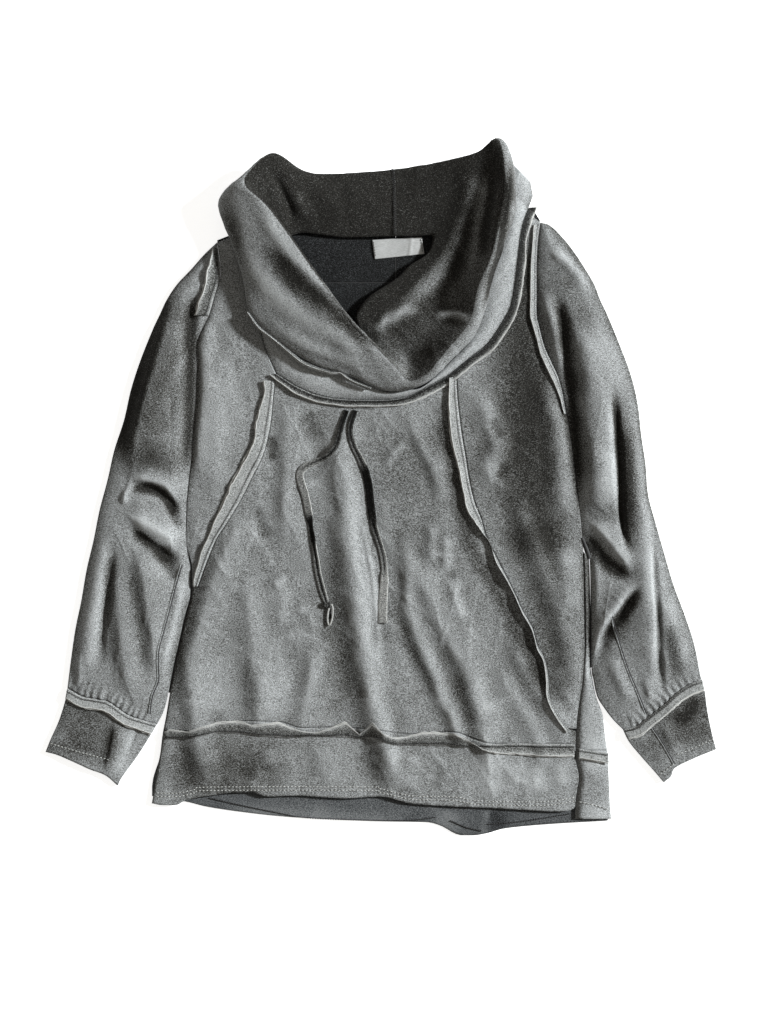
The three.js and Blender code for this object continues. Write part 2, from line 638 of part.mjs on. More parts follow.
function flatTube(plan, height) {
  const outer = [];
  const inner = [];
  for (const line of plan) {
    const last = line.length - 1;
    const inset = (j, distance) => {
      if (j === 0) return towards(line[0], line[1], distance);
      if (j === last) return towards(line[last], line[last - 1], distance);
      return line[j];
    };
    const order = line.map((_, j) => j);
    const back = [...order].reverse();
    outer.push([
      ...order.map((j) => [...line[j], height(...line[j])]),
      ...back.map((j) => [...inset(j, EDGE_INSET), 0]),
    ]);
    inner.push([
      ...order.map((j) => [...inset(j, WALL), height(...line[j]) - WALL]),
      ...back.map((j) => [...inset(j, EDGE_INSET + 0.6), WALL]),
    ]);
  }
  return { geometry: wall(outer, inner, false, true), top: outer.map((ring) => ring.slice(0, plan[0].length)) };
}

const sleeveStations = [0, 0.035, 0.09, 0.16, 0.24, 0.32, 0.4, 0.48, 0.56, 0.64, 0.72, 0.8, 0.88, 0.94, 1];

const armholeLevels = [UNDERARM, -40, -15, 10, 35, 60, 82.7, 105.3, 128, 162, 187, 212, 237, 262];

function armholePath(sleeve) {
  if (sleeve.side < 0) {
    return [...armholeLevels, LEFT_SHOULDER].map((y) => [leftEdge(y) - SEAM_GAP, y]);
  }
  return [...armholeLevels, 284, RIGHT_SHOULDER].map((y) => [rightSeam(y) + SEAM_GAP / 2, y]);
}

function armholeShares(sleeve) {
  const lengths = pathLengths(armholePath(sleeve));
  return lengths.map((length) => length / lengths[lengths.length - 1]);
}

function sleevePlan(sleeve) {
  const armhole = armholePath(sleeve);
  const shares = armholeShares(sleeve);
  const seam = (v) => pointAt(sleeve.cuffSeam, v);
  const innerPath = [armhole[0], ...sleeve.inner.slice(1)];
  const outerPath = [armhole[armhole.length - 1], ...sleeve.outer.slice(1)];
  return sleeveStations.map((u) => shares.map((v) => coons(
    (t) => pointAt(armhole, t), seam, (t) => pointAt(innerPath, t), (t) => pointAt(outerPath, t), u, v,
  )));
}

function shortened(plan, gap) {
  const last = plan.length - 1;
  const end = plan[last].map((point, j) => towards(point, plan[last - 1][j], gap));
  return [...plan.slice(0, last), end];
}

const cuffStations = [0, CUFF_STRIP_SHARE, 0.45, 0.72, 1];

function cuffPlan(sleeve) {
  return cuffStations.map((u) => armholeShares(sleeve).map((v) => coons(
    (t) => pointAt(sleeve.cuffSeam, t), (t) => pointAt(sleeve.opening, t),
    (t) => pointAt(sleeve.cuffInner, t), (t) => pointAt(sleeve.cuffOuter, t), u, v,
  )));
}

// Collar band between the neck seam and the seam of the cowl

function sidewaysFrom(path, i, distance) {
  const before = path[Math.max(i - 1, 0)];
  const after = path[Math.min(i + 1, path.length - 1)];
  const length = Math.hypot(after[0] - before[0], after[1] - before[1]);
  const across = [-(after[1] - before[1]) / length, (after[0] - before[0]) / length];
  return [path[i][0] + across[0] * distance, path[i][1] + across[1] * distance];
}

function bandOuterPath(left, centre, right) {
  const edge = left[0].length - 1;
  const leftRows = left.filter((row) => row[edge][1] < BAND_LEFT_END && row[edge][1] > LEFT_NECK_CORNER + 1);
  const rightRows = right.filter((row) => row[0][1] > RIGHT_NECK_CORNER + 1).reverse();
  const end = [[176, 336, 5], [173, 352, 6]];
  return [...leftRows.map((row) => row[edge]), ...centre[0], ...rightRows.map((row) => row[0]), ...end];
}

function bandGrid(outerPath) {
  const split = outerPath.findIndex((point) => point[0] > 30 && point[1] < 130);
  const innerShare = (i) => {
    const half = i <= split;
    const path = half ? bandInner.slice(0, BAND_SPLIT + 1) : bandInner.slice(BAND_SPLIT);
    const share = half ? i / split : (i - split) / (outerPath.length - 1 - split);
    return pointAt(path, share);
  };
  return outerPath.map((point, i) => {
    const start = sidewaysFrom(outerPath, i, SEAM_GAP + 0.1);
    const end = innerShare(i);
    return steps(3).map((share) => {
      const [x, y] = [0, 1].map((axis) => THREE.MathUtils.lerp(start[axis], end[axis], share));
      const rise = BAND_BULGE * Math.sin(Math.PI * share);
      return [x, y, THREE.MathUtils.lerp(point[2], BAND_SEAM_TOP, share) + rise];
    });
  });
}

// Cowl

const COWL_SPANS = [2, 3, 3, 2];
const COWL_SUBSTEPS = 2;

function catmull(p0, p1, p2, p3, t) {
  return p1.map((value, k) => {
    const slopeIn = (p2[k] - p0[k]) / 2;
    const slopeOut = (p3[k] - value) / 2;
    const [t2, t3] = [t * t, t * t * t];
    return (2 * t3 - 3 * t2 + 1) * value + (t3 - 2 * t2 + t) * slopeIn
      + (3 * t2 - 2 * t3) * p2[k] + (t3 - t2) * slopeOut;
  });
}

function cowlProfile(section) {
  const knots = ['seam', 'bulge', 'rim', 'lining', 'foot'].map(
    (name) => [section[`${name}X`], section[`${name}Y`], section[`${name}Z`]],
  );
  const points = [knots[0]];
  COWL_SPANS.forEach((count, span) => {
    const around = [-1, 0, 1, 2].map((step) => knots[THREE.MathUtils.clamp(span + step, 0, 4)]);
    for (let k = 1; k <= count; k += 1) points.push(catmull(...around, k / count));
  });
  return points;
}

function cowlGrid() {
  const profiles = cowlSections.map(cowlProfile);
  const count = profiles.length;
  const grid = [];
  for (let i = 0; i < count; i += 1) {
    const around = [count - 1, 0, 1, 2].map((step) => profiles[(i + step) % count]);
    for (let k = 0; k < COWL_SUBSTEPS; k += 1) {
      const blend = (j) => catmull(...around.map((profile) => profile[j]), k / COWL_SUBSTEPS);
      grid.push(profiles[0].map((_, j) => blend(j)));
    }
  }
  return grid;
}

function thickened(grid, thickness) {
  const rowCount = grid.length;
  const last = grid[0].length - 1;
  const vector = (i, j) => new THREE.Vector3(...grid[(i + rowCount) % rowCount][j]);
  const faces = [1, -1].map((side) => grid.map((row, i) => row.map((point, j) => {
    const alongRows = vector(i + 1, j).sub(vector(i - 1, j));
    const alongColumns = vector(i, Math.min(j + 1, last)).sub(vector(i, Math.max(j - 1, 0)));
    const normal = alongRows.cross(alongColumns).normalize().multiplyScalar(side * thickness / 2);
    return [point[0] + normal.x, point[1] + normal.y, Math.max(0, point[2] + normal.z)];
  })));
  return wall(faces[0], faces[1], true, false);
}

// Raw seam allowances that lie on a panel, made from its own points

function strip(cells, freeRise = () => 0) {
  const grid = cells.map((row, i) => row.map(([x, y, z], j) => {
    const rise = freeRise(i, j);
    return [x, y, z + STRIP_LIFT + STRIP_WALL + rise];
  }));
  return sheet(grid, STRIP_WALL);
}

function leftPrincessStrip(panel) {
  const last = panel[0].length - 1;
  const rows = panel.filter((row) => row[last][1] < 125);
  return strip(rows.map((row) => [row[last - 1], row[last]]));
}

const STANDING_FROM = -45;
const STANDING_RISE = 5;

function rightPrincessStrip(panel) {
  const last = panel[0].length - 1;
  const rows = panel.filter((row) => row[last][1] < 130 && row[last][1] > -285);
  const cells = rows.map((row) => {
    const [free, root] = [row[last - 1], row[last]];
    const standing = root[1] < STANDING_FROM;
    const x = standing ? THREE.MathUtils.lerp(root[0], free[0], 0.55) : free[0];
    return [[x, free[1], free[2]], root];
  });
  return strip(cells, (i, j) => (j === 0 && rows[i][last][1] < STANDING_FROM ? STANDING_RISE : 0));
}

function neckStrip(centre, right) {
  const rightRows = right.filter((row) => row[0][1] > RIGHT_NECK_CORNER + 1).reverse();
  const roots = [...centre[0], ...rightRows.map((row) => row[0])];
  const free = [...centre[1], ...rightRows.map((row) => row[1])];
  return strip([roots, free], () => 0.3);
}

function armholeStripLeft(top) {
  const from = top[0].findIndex((point) => point[1] > 190);
  const columns = top[0].map((_, j) => j).filter((j) => j >= from);
  return strip([0, 1].map((row) => columns.map((j) => top[row][j])));
}

function armholeStripRight(panel) {
  const last = panel[0].length - 1;
  const rows = panel.filter((row) => row[last][1] > 85);
  const cells = rows.map((row) => {
    const root = row[last];
    const free = towards(root, row[last - 1], Math.min(8, root[0] - row[last - 1][0]));
    return [[...free, frontHeight(...free)], root];
  });
  return strip(cells, () => 0.3);
}

function cuffStrip(top) {
  const wave = (i, j) => (i === 1 ? 0.8 * Math.abs(Math.sin(j * 1.9)) : 0);
  return strip([top[0], top[1]], wave);
}

const hemWaves = table(['x', 'rise'], [
  [-249, 0], [-205, 1], [-187, 0], [-148, 2], [-117, 1], [-70, 3], [-39, 7], [-24, 2], [-9, 7],
  [2, 2], [35, 3], [86, 1], [97, 4], [108, 1], [153, 0], [172, 1], [225, 0],
]);

function hemStripGeometry() {
  const columns = steps(38).map((share) => THREE.MathUtils.lerp(-247, 223, share));
  const grid = [0, 1].map((row) => columns.map((x) => {
    const y = hemSeam(x) - SEAM_GAP - row * HEM_STRIP_WIDTH;
    const wave = interpolate(hemWaves, 'x', 'rise', x);
    const rise = row === 1 ? wave : 0;
    return [x, y - row * (wave > 2 ? -4 : 0), frontHeight(x, y) + STRIP_WALL + 0.9 + rise];
  }));
  return sheet(grid, STRIP_WALL);
}

// Height of the upper face of a panel's own facets

function facetHeight(grid, x, y) {
  const side = (p, q) => (q[0] - p[0]) * (y - p[1]) - (q[1] - p[1]) * (x - p[0]);
  for (let i = 1; i < grid.length; i += 1) {
    for (let j = 1; j < grid[i].length; j += 1) {
      const [a, b, c, d] = [grid[i - 1][j - 1], grid[i - 1][j], grid[i][j], grid[i][j - 1]];
      for (const [p, q, r] of [[a, b, c], [a, c, d]]) {
        const weights = [side(q, r), side(r, p), side(p, q)];
        const inside = weights.every((w) => w >= 0) || weights.every((w) => w <= 0);
        const total = weights[0] + weights[1] + weights[2];
        if (inside && total !== 0) {
          return (weights[0] * p[2] + weights[1] * q[2] + weights[2] * r[2]) / total;
        }
      }
    }
  }
  return FRONT_TOP;
}

// Drawstrings

const TAPE_STEPS = 26;
const TAPE_CLEARANCE = 0.6;

function tapeGeometry(route, panel) {
  const half = TAPE_WIDTH / 2;
  const points = route.map(([x, y]) => {
    const near = [-half, 0, half].flatMap((dx) => [-4, 0, 4].map((dy) => facetHeight(panel, x + dx, y + dy)));
    return new THREE.Vector3(x, y, Math.max(...near) + TAPE_CLEARANCE + TAPE_THICKNESS / 2);
  });
  const path = new THREE.CatmullRomCurve3(points, false, 'centripetal');
  const section = new THREE.Shape();
  section.absellipse(0, 0, TAPE_THICKNESS / 2, half, 0, 2 * Math.PI);
  return new THREE.ExtrudeGeometry(section, {
    extrudePath: path, steps: TAPE_STEPS, bevelEnabled: false, curveSegments: 4,
  });
}

// Label below the back neck seam
const labelCorners = [[[-9, 286], [48, 289.5]], [[-6, 264], [51, 270]]];

function labelGeometry() {
  const top = BACK_TOP + SEAM_GAP + LABEL_WALL;
  return sheet(labelCorners.map((row) => row.map(([x, y]) => [x, y, top])), LABEL_WALL);
}

// The garment

const fleece = new THREE.MeshStandardMaterial({ color: 0x7d807e, roughness: 0.95, metalness: 0 });
const insideOut = new THREE.MeshStandardMaterial({ color: 0x3a3d3f, roughness: 0.95, metalness: 0 });
const rawEdge = new THREE.MeshStandardMaterial({ color: 0x989a97, roughness: 0.95, metalness: 0 });
const satin = new THREE.MeshStandardMaterial({ color: 0xb9bab8, roughness: 0.45, metalness: 0 });

const garment = new THREE.Group();
garment.name = 'cowl_neck_sweatshirt';
garment.position.set(CENTRE_SHIFT.x, CENTRE_SHIFT.y, 0);

function add(name, geometry, material) {
  const mesh = new THREE.Mesh(geometry, material.clone());
  mesh.name = name;
  garment.add(mesh);
}

function addBody(centre, left, right) {
  add('front_centre', sheet(centre), fleece);
  add('front_side_left', sheet(left), fleece);
  add('front_side_right', sheet(right), fleece);
  add('hem_band_front', sheet(hemBandFrontGrid(centre)), fleece);
  add('back', backGeometry(), insideOut);
  add('hem_band_back', hemBandBackGeometry(), insideOut);
  add('back_yoke_left', sheet(yokeGrid(-1)), insideOut);
  add('back_yoke_right', sheet(yokeGrid(1)), insideOut);
  add('label', labelGeometry(), satin);
}

function addSleeve(name, sleeve, folds) {
  const body = flatTube(shortened(sleevePlan(sleeve), SEAM_GAP), (x, y) => sleeveHeight(sleeve, folds, x, y));
  const cuff = flatTube(cuffPlan(sleeve), (x, y) => cuffHeight(sleeve, x, y));
  add(`sleeve_${name}`, body.geometry, fleece);
  add(`cuff_${name}`, cuff.geometry, fleece);
  add(`cuff_strip_${name}`, cuffStrip(cuff.top), rawEdge);
  return body.top;
}

function addCollar(centre, left, right) {
  add('collar_band', sheet(bandGrid(bandOuterPath(left, centre, right))), fleece);
  add('cowl', thickened(cowlGrid(), COWL_WALL), fleece);
  add('neck_strip', neckStrip(centre, right), rawEdge);
}

function addStrips(centre, left, right, leftSleeveTop) {
  add('princess_strip_left', leftPrincessStrip(left), rawEdge);
  add('princess_strip_right', rightPrincessStrip(centre), rawEdge);
  add('armhole_strip_left', armholeStripLeft(leftSleeveTop), rawEdge);
  add('armhole_strip_right', armholeStripRight(right), rawEdge);
  add('hem_strip_front', hemStripGeometry(), rawEdge);
}

function addDrawstrings(centre) {
  add('drawstring_left', tapeGeometry(leftTape, centre), rawEdge);
  add('drawstring_right', tapeGeometry(rightTape, centre), rawEdge);
}

const centreGrid = frontCentreGrid();
const leftGrid = frontLeftGrid();
const rightGrid = frontRightGrid();

addBody(centreGrid, leftGrid, rightGrid);
const leftSleeveTop = addSleeve('left', leftSleeve, leftSleeveFolds);
addSleeve('right', rightSleeve, rightSleeveFolds);
addCollar(centreGrid, leftGrid, rightGrid);
addStrips(centreGrid, leftGrid, rightGrid, leftSleeveTop);
addDrawstrings(centreGrid);

export default garment;
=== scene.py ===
"""Cowl neck sweatshirt laid flat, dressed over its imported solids.

Shapes are written in millimetres on the garment's own sheet, x to the wearer's
left and y from the hem to the neck, and they come out in metres. Left and right
name the sides as they are seen from above.
"""

import math

import bpy
import numpy as np
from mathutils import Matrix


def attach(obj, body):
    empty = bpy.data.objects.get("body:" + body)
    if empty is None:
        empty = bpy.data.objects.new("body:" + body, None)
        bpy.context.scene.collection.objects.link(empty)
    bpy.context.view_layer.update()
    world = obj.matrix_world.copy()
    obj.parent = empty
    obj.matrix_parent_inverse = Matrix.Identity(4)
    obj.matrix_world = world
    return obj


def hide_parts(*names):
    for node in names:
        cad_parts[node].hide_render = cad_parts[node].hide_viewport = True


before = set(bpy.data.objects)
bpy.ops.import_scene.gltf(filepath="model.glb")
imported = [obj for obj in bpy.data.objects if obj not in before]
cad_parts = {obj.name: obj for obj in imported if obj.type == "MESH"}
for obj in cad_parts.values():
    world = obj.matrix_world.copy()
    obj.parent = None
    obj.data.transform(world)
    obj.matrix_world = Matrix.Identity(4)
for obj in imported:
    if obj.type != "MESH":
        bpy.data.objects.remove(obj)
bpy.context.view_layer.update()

MM = 0.001
TINY = 1e-9
# From the sheet's own origin to the middle of the garment's outline
CENTRE_SHIFT = np.array([-1.0, 0.85, 0.0])

# Thickness of the cloth, and the gap between pieces
WALL = 1.5
COWL_WALL = 1.8
PLY = 0.55
LABEL_WALL = 0.7
SEAM_GAP = 0.3

# Heights above the table, and how far from an edge or seam each form reaches
BACK_TOP = 1.6
EDGE_TOP = 3.9
FRONT_TOP = 6.2
NECK_RISE = 2.4
NECK_REACH = 24
EDGE_ROUNDING = 12
SEAM_ROUNDING = 6
GATHER_RISE = 0.9
GATHER_REACH = 13
GATHERS = 13
SLEEVE_CROWN = 7.5
CUFF_CROWN = 2.8
CUFF_REACH = 75
BAND_SEAM_TOP = 12
BAND_BULGE = 2.5
COWL_SEAM_TOP = 17.5
LABEL_TOP = 1.4
WRAP_TOP = 5.6
SOFTNESS = 1.5

# A crease fades out over its ends, and its reach wanders a little
TAPER = 46
TAPER_SHARE = 0.28
WANDER = 0.22
WANDER_CELL = 24

# Limits of the wear and painted light and shade, a painted light that lifts the collar band out of the
# cowl's shade, and the painted shade of the yoke and of the cowl's inside
DARKEST = -2
PALEST = 1.2
BAND_PAINTED_LIGHT = 0.5
YOKE_SHADE = -1.45
COWL_INSIDE_SHADE = -1.15
COWL_BACK_SHADE = -1.1

# Levels along y and places along x that several pieces share
UNDERARM = -61
LEFT_SHOULDER = 283
RIGHT_SHOULDER = 306
LEFT_CORNER = 132
RIGHT_CORNER = 137
LEFT_TIP = -112
RIGHT_TIP = -275.3
YOKE_LINE = 237
BACK_END = -300
WRAP_START = -74
BAND_END = 323
CENTRE_BACK = 18
NECK_LEFT = -119
NECK_RIGHT = 87
HEM_LEFT = -249
HEM_RIGHT = 225

# Outline and seams as (x, y), read down the garment
LEFT_EDGE = [
    (-187, 282), (-184, 262), (-183, 247), (-189, 224), (-196, 200), (-206, 180), (-211, 165), (-210, 143),
    (-211, 110), (-214, 76), (-216, 41), (-220, 5), (-222, -18), (-222.6, -61), (-219, -75), (-216, -90),
    (-216, -119), (-218, -130), (-223, -148), (-229, -175), (-236, -206), (-242, -238), (-246, -262),
    (-250, -283), (-252, -300), (-254, -317), (-258, -335), (-261, -352), (-262, -364),
]
RIGHT_SEAM = [
    (184, 306), (181, 281), (180, 250), (180, 200), (183, 187), (189, 164), (196, 148), (205, 128),
    (210, 110), (213, 92), (217, 74), (220, 53), (224, 25), (227, 0), (229, -18), (231, -39), (233, -61),
    (234.5, -128), (235, -180), (233, -218), (229, -244), (226, -269), (225, -295), (225, -308),
    (229, -331), (226, -351), (224, -372),
]
RIGHT_FOLD = [
    (239, -61), (241, -100), (242, -150), (242, -205), (244, -218), (248, -238), (256, -261), (259, -287),
    (262, -308), (263, -333), (264.5, -366), (266, -381),
]
LEFT_PRINCESS = [
    (-119, 132), (-122, 110), (-125, 79), (-133, 42), (-146, 15), (-160, -13), (-175, -38), (-188, -58),
    (-200, -87), (-209, -112),
]
RIGHT_PRINCESS = [
    (87, 137), (89, 104), (93, 69), (98, 38), (103, 7), (109, -17), (116, -34), (121, -52), (135, -81),
    (154, -118), (163, -138), (175, -159), (181, -180), (188, -192), (193, -213), (195, -238), (205, -259),
    (217, -276),
]
LEFT_NECK = [
    (-168, 293), (-160, 262), (-156, 237), (-149, 212), (-139, 187), (-132, 162), (-125, 145), (-119, 132),
]
RIGHT_NECK = [
    (171, 323), (164, 303), (160, 280), (158, 262), (155, 237), (151, 212), (138, 187), (122, 165),
    (103, 150), (87, 137),
]
NECK = [
    (-119, 132), (-93, 116), (-70, 107), (-46, 103), (-20, 102), (5, 102), (29, 105), (52, 116), (78, 130),
    (87, 137),
]
HEM_SEAM = [
    (-249, -277), (-220, -278), (-187, -269), (-159, -266), (-117, -267), (-89, -274), (-56, -273),
    (-24, -275), (2, -277), (35, -281), (86, -279), (108, -287), (122, -291), (162, -293), (225, -293),
]
FRONT_HEM = [
    (-262, -361), (-250, -363), (-235, -363), (-222, -357), (-196, -352), (-161, -348), (-148, -348),
    (-130, -353), (-96, -352), (-39, -355), (0, -353), (36, -361), (77, -364), (126, -366), (162, -368),
    (201, -370), (212, -370), (225, -364),
]
BACK_HEM = [
    (-262, -353), (-235, -357), (-220, -360), (-200, -365), (-161, -371), (-117, -376), (-74, -379),
    (0, -382), (54, -383), (72, -388), (82, -394), (93, -398), (108, -398), (122, -396), (144, -390),
    (197, -385), (266, -381),
]
BACK_NECK = [
    (-190, 285), (-172, 292), (-150, 300), (-101, 308), (-72, 300), (-41, 294), (18, 291), (60, 294),
    (100, 304), (140, 318), (172, 323), (186, 306),
]

# The cowl is a folded tube round the neck. Each row is one section: the seam at its foot,
# the bulge of the outer layer, the rim, the middle of the inner layer and its free foot.
COWL = [
    (15, 293, 1, 15, 330, 0.9, 15, 366, 6, 15, 330, 9, 15, 290, 6),
    (-41, 297, 1, -43, 330, 0.9, -46, 361, 7, -42, 330, 10, -40, 289, 4.5),
    (-76, 304, 1, -83, 335, 1.2, -87, 363, 12, -78, 333, 13, -70, 292, 4.5),
    (-106, 312, 1, -119, 346, 3, -122, 382, 24, -104, 338, 16, -90, 294, 5),
    (-140, 304, 2, -160, 335, 8, -150, 360, 32, -124, 325, 17, -104, 289, 8),
    (-152, 285, 9, -184, 326, 20, -153, 343, 40, -130, 305, 20, -112, 278, 9),
    (-152, 262, 10, -170, 290, 24, -128, 319, 41, -122, 290, 21, -114, 262, 9),
    (-148, 234, 10, -153, 246, 22, -97, 277, 41, -106, 258, 21, -110, 238, 9),
    (-142, 200, 13.5, -142, 205, 21, -65, 230, 40, -82, 221, 20, -96, 211, 9),
    (-110, 167, 13.5, -108, 170, 21, -33, 189, 37, -50, 186, 20, -68, 182, 9),
    (-70, 143, 13.5, -69, 145, 21, -5, 160, 33, -20, 163, 18, -38, 163, 9),
    (-31, 129, 13.5, -28, 130, 20, 15, 140, 28, 2, 152, 16, -22, 165, 9),
    (6, 113, 13, 14, 114, 19, 32, 123, 25, 24, 152, 14, -22, 180, 9),
    (46, 119, 13, 52, 122, 23, 53, 129, 31, 34, 165, 15, -28, 199, 9),
    (78, 148, 13, 84, 151, 26, 78, 158, 36, 48, 186, 17, -14, 219, 9),
    (101, 173, 13, 108, 177, 28, 103, 189, 38, 68, 208, 15, 5, 232, 9),
    (116, 204, 13, 121, 212, 28, 112, 226, 40, 82, 236, 13, 20, 242, 9),
    (122, 240, 13, 129, 247, 28, 126, 260, 41, 90, 262, 14, 34, 256, 9),
    (132, 272, 13, 141, 281, 28, 136, 298, 42, 98, 288, 16, 53, 268, 9),
    (143, 308, 12, 153, 322, 26, 144, 338, 42, 106, 318, 17, 60, 282, 9),
    (132, 336, 6, 148, 368, 16, 136, 396, 32, 104, 345, 18, 60, 290, 8),
    (92, 318, 1.2, 106, 352, 4, 110, 383, 22, 82, 346, 14, 54, 291, 7),
    (54, 298, 1, 60, 334, 0.9, 64, 373, 11, 50, 335, 11, 38, 290, 6),
]

# Inner edge of the collar band, from its left end round the front to the right shoulder
BAND_INNER_LEFT = [
    (-141, 197), (-124, 178), (-109, 165.5), (-92, 151), (-72, 142), (-50, 137), (-32, 128), (-14, 119.5),
    (8, 111), (30, 113),
]
BAND_INNER_RIGHT = [
    (30, 113), (47, 116), (66, 131), (80, 145), (104, 170), (119, 200), (125, 238), (135, 270), (146, 305),
    (151, 345), (151, 373),
]

# Hem allowance: its stitched line, its raw edge and how far that stands up
HEM_STITCH = [
    (-249, -287), (-220, -287), (-187, -280), (-161, -281), (-139, -284), (-104, -286), (-80, -283),
    (-52, -285), (-19, -286), (2, -289), (20, -294), (57, -295), (77, -295), (90, -297), (104, -297),
    (118, -293), (162, -292), (225, -293),
]
HEM_RAW = [
    (-249, -280), (-242, -275), (-220, -278), (-205, -273), (-187, -268), (-159, -266), (-148, -270),
    (-117, -267), (-104, -273), (-87, -278), (-73, -279.5), (-58, -275), (-40.5, -266.5), (-24, -281.5),
    (-9, -267.5), (4, -281), (15, -285), (28, -284), (49, -279), (86, -280), (97, -285), (108, -292),
    (118, -300), (133, -304), (153, -305), (172, -307), (203, -308), (224, -307),
]
HEM_CURLS = [
    (-249, 2), (-100, 2), (-72, 1.2), (-40, 7), (-24, 1.5), (-9, 7), (8, 2), (80, 2), (96, 4.5), (112, 3),
    (130, 1.2), (225, 1.2),
]

# Drawstring routes, over the front from the neck seam down
LEFT_TAPE = [
    (-38, 90), (-43, 76), (-46, 63), (-51, 48), (-60, 38), (-74, 31), (-86, 25), (-92, 17), (-90, 6),
    (-86, -6), (-83, -20), (-80, -38), (-77, -56), (-74, -76), (-71, -96), (-66, -116), (-61, -132),
    (-58, -142), (-55, -152),
]
RIGHT_TAPE = [
    (-28, 90), (-33, 76), (-34, 63), (-30, 49), (-23, 35), (-17, 21), (-13, 4), (-11, -14), (-9, -30),
    (-6, -46), (-1, -61), (3, -75), (5, -89), (5, -103), (4, -118), (3, -132), (3, -144), (3, -154),
]

# Creases: rise in millimetres, reach to the left and right of the line's way, and the line.
# Read down the garment, a crest falls gently to +x and steeply to -x.
FRONT_CREASES = [
    (6.5, 19, 15, [(-46, 92), (-45, 64), (-46, 40), (-40, -14), (-36, -60), (-28, -110), (-22, -160),
     (-14, -206), (-7, -250), (6, -292), (18, -350)]),
    (-2.5, 16, 24, [(-66, -30), (-62, -80), (-56, -130), (-48, -190), (-36, -240), (-22, -292),
     (-10, -350)]),
    (1.8, 5, 3, [(-24, -20), (-14, -70), (-6, -120), (-3, -160), (1, -200)]),
    (4.5, 14, 9, [(30, -44), (31, -78), (32, -100), (33, -130), (38, -152), (48, -180), (62, -215),
     (71, -240), (84, -264), (96, -310)]),
    (5.5, 24, 12, [(36, -66), (49, -96), (60, -130), (84, -180), (98, -202), (105, -224), (110, -242),
     (117, -260), (122, -288), (132, -340)]),
    (2.4, 8, 6, [(74, -50), (76, -75), (75, -100)]),
    (2.4, 9, 7, [(57, -34), (60, -60), (60, -90)]),
    (2.6, 9, 9, [(84, -98), (88, -125), (95, -156)]),
    (2.2, 8, 9, [(67, 50), (69, 20), (71, -22)]),
    (2.4, 9, 7, [(32, 92), (39, 70), (49, 45), (61, 20), (67, -6)]),
    (1.4, 6, 6, [(30, 56), (16, 40), (4, 20)]),
    (3.8, 20, 12, [(-108, 112), (-107, 92), (-104, 60), (-105, 20), (-108, -20), (-103, -60), (-96, -82)]),
    (-2.4, 6, 6, [(-127, 64), (-125, 28)]),
    (-1.8, 6, 6, [(-143, -18), (-131, -62)]),
    (1.6, 6, 6, [(-106, -98), (-124, -113)]),
    (1.6, 6, 6, [(-86, -134), (-95, -145)]),
    (2.2, 10, 10, [(-118, -98), (-112, -130), (-108, -162)]),
    (5, 26, 13, [(-150, -20), (-170, -60), (-190, -110), (-205, -160), (-217, -200), (-213, -236),
     (-208, -290), (-190, -346)]),
    (4.5, 26, 13, [(-150, -90), (-149, -118), (-146, -160), (-141, -200), (-137, -236), (-130, -300)]),
    (3.8, 20, 10, [(-74, -160), (-75, -190), (-80, -222), (-85, -250), (-87, -300)]),
    (1.7, 18, 13, [(9, -290), (16, -320), (26, -352)]),
    (1.3, 12, 9, [(-128, -296), (-127, -320)]),
    (1.2, 10, 7, [(-134, -320), (-150, -346)]),
    (1.1, 12, 9, [(-72, -288), (-66, -310), (-50, -348)]),
    (1.2, 14, 9, [(-208, -300), (-196, -326), (-188, -346)]),
    (1.2, 12, 9, [(40, -300), (36, -328), (44, -350)]),
    (-0.9, 4, 7, [(71, -312), (62, -348)]),
    (1.4, 14, 12, [(118, -304), (126, -330), (136, -356)]),
    (1.2, 10, 9, [(150, -312), (157, -342)]),
    (1.2, 9, 9, [(176, -316), (182, -352)]),
    (1.1, 8, 7, [(204, -312), (210, -346)]),
    (4, 16, 13, [(104, 128), (113, 106), (126, 80), (134, 50), (127, 20), (117, -12)]),
    (-1.8, 6, 5, [(126, 82), (139, 54)]),
    (-1.6, 5, 5, [(145, 32), (135, 8)]),
    (5, 16, 14, [(188, 130), (196, 98), (204, 74), (208, 50), (210, 20), (211, -12), (213, -42)]),
    (4.5, 14, 13, [(150, -2), (172, -48), (187, -90), (198, -122), (208, -150), (216, -182), (224, -216),
     (228, -250)]),
    (4.5, 16, 10, [(208, -54), (212, -90), (217, -126), (222, -152)]),
    (2.6, 8, 9, [(202, -198), (212, -226), (222, -254)]),
    (3.2, 14, 10, [(148, -166), (165, -204), (186, -240), (206, -268), (216, -300)]),
    (2.8, 12, 10, [(128, -188), (146, -224), (168, -258), (182, -290), (190, -330)]),
    (4, 20, 7, [(-200, 224), (-205, 160), (-203, 110), (-208, 60), (-214, 0)]),
    (2.2, 16, 20, [(-168, 190), (-176, 120), (-184, 50), (-196, -20)]),
]
